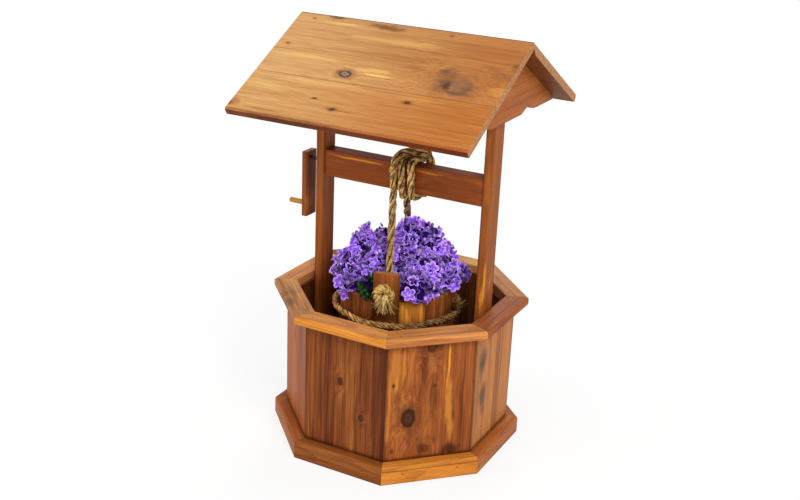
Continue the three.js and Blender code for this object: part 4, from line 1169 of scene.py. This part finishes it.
def foliage_core(material):
    """The body under the blooms: the plant's solid, drawn in a little and made leafy."""
    core = add_object("bellflower_foliage", nodes["bellflowers"].data.copy())
    remesh = core.modifiers.new("even", "REMESH")
    remesh.mode = "VOXEL"
    remesh.voxel_size = 4 * MM
    depsgraph = bpy.context.evaluated_depsgraph_get()
    mesh = bpy.data.meshes.new_from_object(core.evaluated_get(depsgraph))
    core.modifiers.clear()
    core.data = mesh
    shell = bmesh.new()
    shell.from_mesh(mesh)
    for _ in range(2):
        bmesh.ops.smooth_vert(shell, verts=shell.verts, factor=0.5, use_axis_x=True, use_axis_y=True,
                              use_axis_z=True)
    shell.normal_update()
    for vertex in shell.verts:
        vertex.co -= vertex.normal * (8.5 + 2.5 * noise.noise(vertex.co * 55)) * MM
    shell.normal_update()
    shell.to_mesh(mesh)
    shell.free()
    mesh.materials.clear()
    mesh.materials.append(material)
    mesh.polygons.foreach_set("use_smooth", [True] * len(mesh.polygons))
    return core


def scatter_places(core, count, apart, rng, lowest=-0.75):
    """Places spread over the core at least so far apart, each with the way it faces."""
    mesh = core.data
    mesh.calc_loop_triangles()
    triangles = mesh.loop_triangles
    weights, total = [], 0.0
    for triangle in triangles:
        total += triangle.area
        weights.append(total)
    found, cells, tries = [], {}, 0
    while len(found) < count and tries < count * 60:
        tries += 1
        triangle = triangles[bisect.bisect_left(weights, rng.uniform(0, total))]
        corners = [mesh.vertices[i] for i in triangle.vertices]
        a, b = sorted((rng.random(), rng.random()))
        place = corners[0].co * a + corners[1].co * (b - a) + corners[2].co * (1 - b)
        normal = (corners[0].normal + corners[1].normal + corners[2].normal).normalized()
        if normal.z < lowest or place.z < GROWTH_FOOT:
            continue
        key = tuple(int(v // apart) for v in place)
        near = (cells.get((key[0] + i, key[1] + j, key[2] + k), ())
                for i in (-1, 0, 1) for j in (-1, 0, 1) for k in (-1, 0, 1))
        if any((place - other).length < apart for cell in near for other in cell):
            continue
        cells.setdefault(key, []).append(place)
        found.append((place, normal))
    return found


def keeps_clear(place, reach):
    """True where a piece of that reach at that place touches no ear and no rope."""
    flat = Vector((place.x - BUCKET.x, place.y, 0))
    for turn in (EAR_TURN, EAR_TURN + 180):
        out = radial(turn)
        aside = abs(flat.dot(UP.cross(out)))
        beside_ear = place.z < EAR_TOP + reach * 0.7 and aside < EAR_HALF + reach * 0.75
        if beside_ear and EAR_FACE - reach < flat.dot(out):
            return False
    return all((place - point).length >= ROPE_RADIUS + reach * 0.8 for point in FALL_POINTS)


def is_bare(place, share=1.0):
    """True near one of the spots that the blooms leave open."""
    return any((place - Vector((x, y, z)) * MM).length < share * reach * MM for x, y, z, reach in BARE_SPOTS)


def facing(normal, rng):
    """A turn that brings +Z to the normal, at any angle about it."""
    turn = normal.to_track_quat("Z", "Y").to_matrix()
    return turn @ Matrix.Rotation(rng.uniform(0, math.tau), 3, "Z")


def lightness(rng, light, spread):
    return min(max(rng.gauss(light, spread), 0), 1)


def bloom_shape():
    """A bellflower that opens as a star: a small cup, and five broad pointed lobes that spread."""
    per_lobe = 6
    wide = PETALS * per_lobe
    # The reach of a lobe from its notch to its tip and back
    edge = (0.56, 0.80, 0.95, 1.0, 0.95, 0.80)
    rings = ((0.10, -0.66), (0.30, -0.56), (0.44, -0.34), (0.58, -0.12), (0.80, 0.01), (1.0, 0.06))
    points, tones = [], []
    for way, height in rings:
        open_share = min(max((way - 0.46) / 0.3, 0), 1)
        for side in range(wide):
            turn = math.tau * side / wide
            reach = way * (0.86 + (edge[side % per_lobe] - 0.86) * open_share)
            crease = abs(side % per_lobe - per_lobe / 2) / (per_lobe / 2)
            lift = height + open_share * way * (0.16 * crease - 0.06)
            points.append(Vector((reach * math.cos(turn), reach * math.sin(turn), lift)))
            tones.append((way - rings[0][0]) / (1 - rings[0][0]) * (1 - 0.18 * (1 - crease) * open_share))
    points.append(Vector((0, 0, -0.70)))
    tones.append(0.0)
    foot = [(len(points) - 1, (side + 1) % wide, side) for side in range(wide)]
    return points, ring_faces(len(rings), wide) + foot, tones


def build_blooms(core, petal, green, pale):
    rng = random.Random("blooms")
    petals, calyx, styles = Heap(), Heap(), Heap()
    shape, faces, tones = bloom_shape()
    count = 0
    for number, apart, (lowest, highest), (small, large), light in BLOOM_LAYERS:
        for place, normal in scatter_places(core, number, apart * MM, rng):
            size = rng.uniform(small, large) * MM
            mouth = place + normal * rng.uniform(lowest, highest) * (1 - 0.5 * max(0, normal.z)) * MM
            if is_bare(place) or mouth.z > BLOOM_TOP or not keeps_clear(mouth, size * 0.85):
                continue
            if rng.random() < 0.07:
                continue
            count += 1
            heading = (normal + stray(rng, 0.42) + UP * 0.12).normalized()
            turn = facing(heading, rng)
            shade = lightness(rng, light, 0.24)
            opened = rng.uniform(0.75, 1.15)
            curl = rng.uniform(-0.2, 0.32)
            bloom = []
            for point, tone in zip(shape, tones):
                bent = Vector((point.x, point.y, point.z * opened + curl * tone * tone * point.xy.length))
                wobble = noise.noise(Vector((point.x * 2.4, point.y * 2.4, count * 1.7))) * 0.2 * tone
                bloom.append(mouth + turn @ ((bent + Vector((0, 0, wobble))) * size))
            petals.add(bloom, faces, [(tone, shade) for tone in tones])
            foot = mouth + turn @ Vector((0, 0, -0.62 * opened * size))
            tip = mouth + turn @ Vector((0, 0, -0.2 * size))
            sweep(styles, [foot, foot.lerp(tip, 0.6), tip], [0.6 * MM, 0.6 * MM, 1.1 * MM], 5)
            stalk = [place - normal * 3 * MM, foot - heading * 3 * MM, foot + heading * 0.12 * size]
            sweep(calyx, stalk, [0.7 * MM, 0.8 * MM, 2.3 * MM], 6)
    return [thicken(petals.build("bellflower_blooms", petal, "tone"), 0.35 * MM),
            calyx.build("bellflower_calyces", green, "tone"), styles.build("bellflower_styles", pale, "tone")]


def leaf_shape():
    """A rounded leaf with a toothed edge, folded a little along its midrib."""
    outline = (0.0, 0.42, 0.62, 0.66, 0.56, 0.36, 0.0)
    across = (-1, -0.5, 0, 0.5, 1)
    last, wide = len(outline) - 1, len(across)
    points, tones = [], []
    for row, half in enumerate(outline):
        along = row / last
        if 0 < row < last:
            half += 0.07 if row % 2 else -0.02
        for side in across:
            fold = abs(side) * half * 0.38 - along * along * 0.35
            points.append(Vector((side * half, along * 1.15, fold)))
            tones.append(1 - abs(side))
    faces = [(here, here + 1, here + wide + 1, here + wide)
             for row in range(last) for here in range(row * wide, row * wide + wide - 1)]
    return points, faces, tones


def build_leaves(core, green):
    rng = random.Random("leaves")
    heap = Heap()
    shape, faces, tones = leaf_shape()

    def add_leaf(base, turn, size, shade):
        heap.add([base + turn @ (point * size) for point in shape], faces, [(tone, shade) for tone in tones])

    def outward(base, lift, spread):
        out = (Vector((base.x, base.y, 0)) - BUCKET).normalized()
        return facing((out + UP * lift + stray(rng, spread)).normalized(), rng)

    for place, normal in scatter_places(core, 520, 10.5 * MM, rng, -0.9):
        size = rng.uniform(7, 12) * MM
        base = place - normal * 1.5 * MM
        if not keeps_clear(base, size * 0.8):
            continue
        turn = facing((normal + stray(rng, 0.55)).normalized(), rng)
        lift, shade = -3, lightness(rng, 0.45, 0.22)
        # The leaves at the bare spots: the near-black ones paint the shade between the blooms, the bright ones
        # glossy highlights
        if is_bare(place, 1.3):
            lift, shade = 2.5, rng.choice((0.0, 0.1, 0.9, 1.0))
        elif rng.random() < 0.85:
            continue
        add_leaf(base + normal * lift * MM, turn, size, shade)
    for spot in HANGING_LEAVES:
        base = Vector(spot) * MM
        turn = outward(base, 0.5, 0.3)
        # Near-black and bright leaves: painted shade and painted glossy highlights
        add_leaf(base, turn, 8 * MM, rng.choice((0.0, 0.15, 0.8, 1.0)))
    for x, y, z, _ in BARE_SPOTS[:3]:
        for _ in range(15):
            base = Vector((x + rng.uniform(-9, 9), y - 5 + rng.uniform(-5, 5), z + rng.uniform(-6, 16))) * MM
            turn = outward(base, 0.4, 0.5)
            # Mostly near black: painted shade in the gap
            shade = rng.choice((0.0, 0.0, 0.0, 0.8))
            if keeps_clear(base, 7 * MM):
                add_leaf(base, turn, 9 * MM, shade)
    return thicken(heap.build("bellflower_leaves", green, "tone"), 0.4 * MM)


BUD_RINGS = ((0, 1.0), (0.2, 2.2), (0.45, 2.7), (0.7, 2.0), (0.9, 0.9), (1.0, 0.2))
BUD_SIDES = 7


def build_buds(core, petal, green):
    """Closed buds on short stalks, among the blooms."""
    rng = random.Random("buds")
    buds, stalks = Heap(), Heap()
    end = range((len(BUD_RINGS) - 1) * BUD_SIDES, len(BUD_RINGS) * BUD_SIDES)
    faces = [*ring_faces(len(BUD_RINGS), BUD_SIDES), tuple(range(BUD_SIDES - 1, -1, -1)), tuple(end)]
    for place, normal in scatter_places(core, 95, 20 * MM, rng, -0.3):
        heading = (normal + UP * 0.25 + stray(rng, 0.3)).normalized()
        foot = place + heading * rng.uniform(8, 15) * MM
        if not keeps_clear(foot, 7 * MM):
            continue
        shade = rng.uniform(0.3, 0.7)
        turn = facing(heading, rng)
        points, tones = [], []
        for share, radius in BUD_RINGS:
            points += [foot + turn @ (local * MM) for local in level_ring(radius, share * 10, BUD_SIDES)]
            tones += [(0.5 + 0.5 * share, shade)] * BUD_SIDES
        buds.add(points, faces, tones)
        stalk = [place - normal * 4 * MM, place.lerp(foot, 0.5) - UP * 0.8 * MM, foot, foot + heading * 2 * MM]
        sweep(stalks, stalk, [0.7 * MM, 0.6 * MM, 0.9 * MM, 2.0 * MM], 5)
    return [buds.build("bellflower_buds", petal, "tone"), stalks.build("bellflower_stalks", green, "tone")]


# The tones of petals, leaves, undergrowth and styles, from the base to the tip;
# the petals' light tips are painted highlights along their rims
PETAL_STOPS = ((0.0, (0.84, 0.80, 0.88)), (0.28, (0.42, 0.27, 0.73)), (0.52, (0.16, 0.035, 0.50)),
               (0.8, (0.38, 0.20, 0.73)), (1.0, (0.62, 0.50, 0.89)))
# Leaves darken from the midrib to the edges: the light midrib paints a glossy highlight
LEAF_STOPS = ((0.0, (0.004, 0.016, 0.003)), (0.6, (0.010, 0.040, 0.007)), (1.0, (0.045, 0.125, 0.022)))
# The undergrowth's dark violet paints the shade deep among the blooms
UNDERGROWTH_SHADE_STOPS = ((0.0, (0.055, 0.006, 0.28)), (0.5, (0.065, 0.007, 0.33)), (1.0, (0.080, 0.010, 0.40)))
STYLE_STOPS = ((0.0, (0.72, 0.70, 0.60)), (0.5, (0.78, 0.76, 0.70)), (1.0, (0.8, 0.76, 0.66)))
LEAF_RELIEF = (0.5, 0.0008)


def build_plant():
    petal = tone_material("bell_petal", PETAL_STOPS, 0.5, 700.0,
                          also={"Subsurface Weight": 0.08, "Subsurface Scale": 0.002})
    green = tone_material("bell_leaf", LEAF_STOPS, 0.45, 260.0, relief=LEAF_RELIEF)
    dark = tone_material("bell_undergrowth_shade", UNDERGROWTH_SHADE_STOPS, 0.8, 160.0, relief=LEAF_RELIEF)
    pale = tone_material("bell_style", STYLE_STOPS, 0.6, 900.0)
    core = foliage_core(dark)
    # The calyces take the undergrowth, whose dark violet is painted shade
    pieces = (core, *build_blooms(core, petal, dark, pale), build_leaves(core, green),
              *build_buds(core, petal, green))
    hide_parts("bellflowers")
    carried(pieces, "bucket")


# Nails and floor

# A nail head's rings, each a share of its radius and a height, and its top
NAIL_RINGS = ((1.0, -0.25), (1.0, 0.02), (0.88, 0.2), (0.55, 0.38))
NAIL_TOP = 0.45
NAIL_SIDES = 12
NAIL_ALONG = 72


def nail(heap, place, out, radius):
    """A nail head: a low dome, its rings from the wood up."""
    turn = Vector(out).normalized().to_track_quat("Z", "Y").to_matrix()
    points, values = [], []
    for share, height in (*NAIL_RINGS, (0, NAIL_TOP)):
        sides = NAIL_SIDES if share else 1
        points += [(Vector(place) + turn @ local) * MM for local in level_ring(share * radius, height, sides)]
        values += [(share, 0)] * sides
    top = len(points) - 1
    inner = top - NAIL_SIDES
    faces = [(top, inner + side, inner + (side + 1) % NAIL_SIDES) for side in range(NAIL_SIDES)]
    faces += [*ring_faces(len(NAIL_RINGS), NAIL_SIDES), tuple(range(NAIL_SIDES - 1, -1, -1))]
    heap.add(points, faces, values)


def build_nails(material):
    heap = Heap()
    for _, out, tangent in sides_of_well():
        for along in (-NAIL_ALONG, NAIL_ALONG):
            nail(heap, out * 214 + tangent * along + UP * RIM_TOP, UP, 1.3)
            nail(heap, out * 234 + tangent * along * 0.97 + UP * RIM_TOP, UP, 1.3)
            nail(heap, out * TRIM_FACE + tangent * along * 0.8 + UP * 22, out, 1.5)
    for side in (-1, 1):
        for y, z in ((-6, 578), (-13, 567)):
            nail(heap, (side * 199.8, y, z), (side, 0, 0), 1.6)
    carried([heap.build("nail_heads", material, "lay")], "root")


def background_rays(tree):
    """One for the rays that show the white background: the camera's, and those off gloss and through glass."""
    rays = node("LightPath", tree=tree)
    seen = reckon("MAXIMUM", rays["Is Camera Ray"], rays["Is Transmission Ray"])
    return reckon("MAXIMUM", seen, rays["Is Glossy Ray"])


FLOOR_HALF = 12
# The floor lies this much under the feet of the boards
FLOOR_DROP = 0.0006


def build_floor():
    material, tree = new_material("pale_floor")
    place = object_place(tree)
    color = mix(span(grain_noise(place, 2.0, 3.0), 0.3, 0.7), (0.90, 0.90, 0.90), (0.93, 0.93, 0.93))
    matt = principled(color, 0.9, 0.0)
    glow = node("Emission", {"Color": (1, 1, 1), "Strength": 1.0}, tree=tree)
    share = background_rays(tree) * span(length_of(place), 0.35, 1.5, 0.78, 1.0)
    node("OutputMaterial", {"Surface": node("MixShader", {0: share, 1: matt, 2: glow})})
    mesh = bpy.data.meshes.new("floor")
    corners = [(x * FLOOR_HALF, y * FLOOR_HALF, 0) for x, y in ((-1, -1), (1, -1), (1, 1), (-1, 1))]
    mesh.from_pydata(corners, [], [(0, 1, 2, 3)])
    mesh.materials.append(material)
    floor = add_object("floor", mesh)
    floor.location = (0, 0, -FLOOR_DROP)


def build_world():
    world = bpy.data.worlds.new("studio")
    bpy.context.scene.world = world
    world.use_nodes = True
    tree = world.node_tree
    tree.nodes.clear()
    soft = node("Background", {"Color": (0.98, 0.99, 1.0), "Strength": 0.62}, tree=tree)
    white = node("Background", {"Color": (1, 1, 1), "Strength": 1.0}, tree=tree)
    node("OutputWorld", {"Surface": node("MixShader", {0: background_rays(tree), 1: soft, 2: white})})


def main():
    add_camera()
    build_world()
    add_lamp("key", (1.9, -1.7, 2.3), (0, 0, 0.35), 1.3, 62, (1.0, 0.97, 0.93))
    add_lamp("fill", (-2.2, -1.6, 1.3), (0, 0, 0.4), 1.8, 22, (0.98, 0.99, 1.0))
    add_lamp("back", (-0.6, 2.3, 2.2), (0, 0, 0.5), 1.5, 26)
    bpy.context.scene.view_settings.view_transform = "Standard"
    build_floor()
    dress_well()
    dress_frame()
    dress_roof()
    dress_bucket()
    dress("crank_axle", speckled("dark_steel", 260.0, 4.0, (0.45, 0.7), ((0.055, 0.05, 0.047), (0.13, 0.085, 0.06)),
                                 (0.3, 0.7, 0.4, 0.65), metallic=0.85))
    dress("soil", speckled("potting_soil", 190.0, 5.0, (0.35, 0.68), ((0.012, 0.007, 0.004), (0.06, 0.036, 0.02)),
                           0.95, uneven=0.7, relief=(0.9, 0.003)))
    rope = rope_material("rope_fibre", (0.80, 0.52, 0.18), (0.46, 0.25, 0.068), (0.11, 0.045, 0.010))
    tassel = rope_material("rope_end_fibre", (0.92, 0.66, 0.24), (0.70, 0.41, 0.10), (0.17, 0.072, 0.014))
    # The hoop's rope is redder than the rest, as painted light bounced off the wood, and painted lighter on its left
    # and darker on its right
    bounce_lit_hoop_rope = rope_material("hoop_fibre_bounce_lit", (0.86, 0.47, 0.16), (0.50, 0.20, 0.046), (0.12, 0.038, 0.008),
                              left_painted_light=1.75, right_painted_light=0.62)
    fibre = speckled("loose_fibre", 420.0, 2.0, (0.3, 0.7), ((0.30, 0.16, 0.045), (0.85, 0.64, 0.30)), 0.8)
    build_rope(rope, fibre)
    build_knot("rope_knot_front", EAR_TURN, tassel, fibre)
    build_knot("rope_knot_back", EAR_TURN + 180, tassel, fibre)
    build_hoop(bounce_lit_hoop_rope, fibre)
    build_plant()
    build_nails(speckled("nail_head", 900.0, 3.0, (0.4, 0.65), ((0.012, 0.008, 0.006), (0.04, 0.022, 0.012)), 0.75,
                         metallic=0.2))


main()
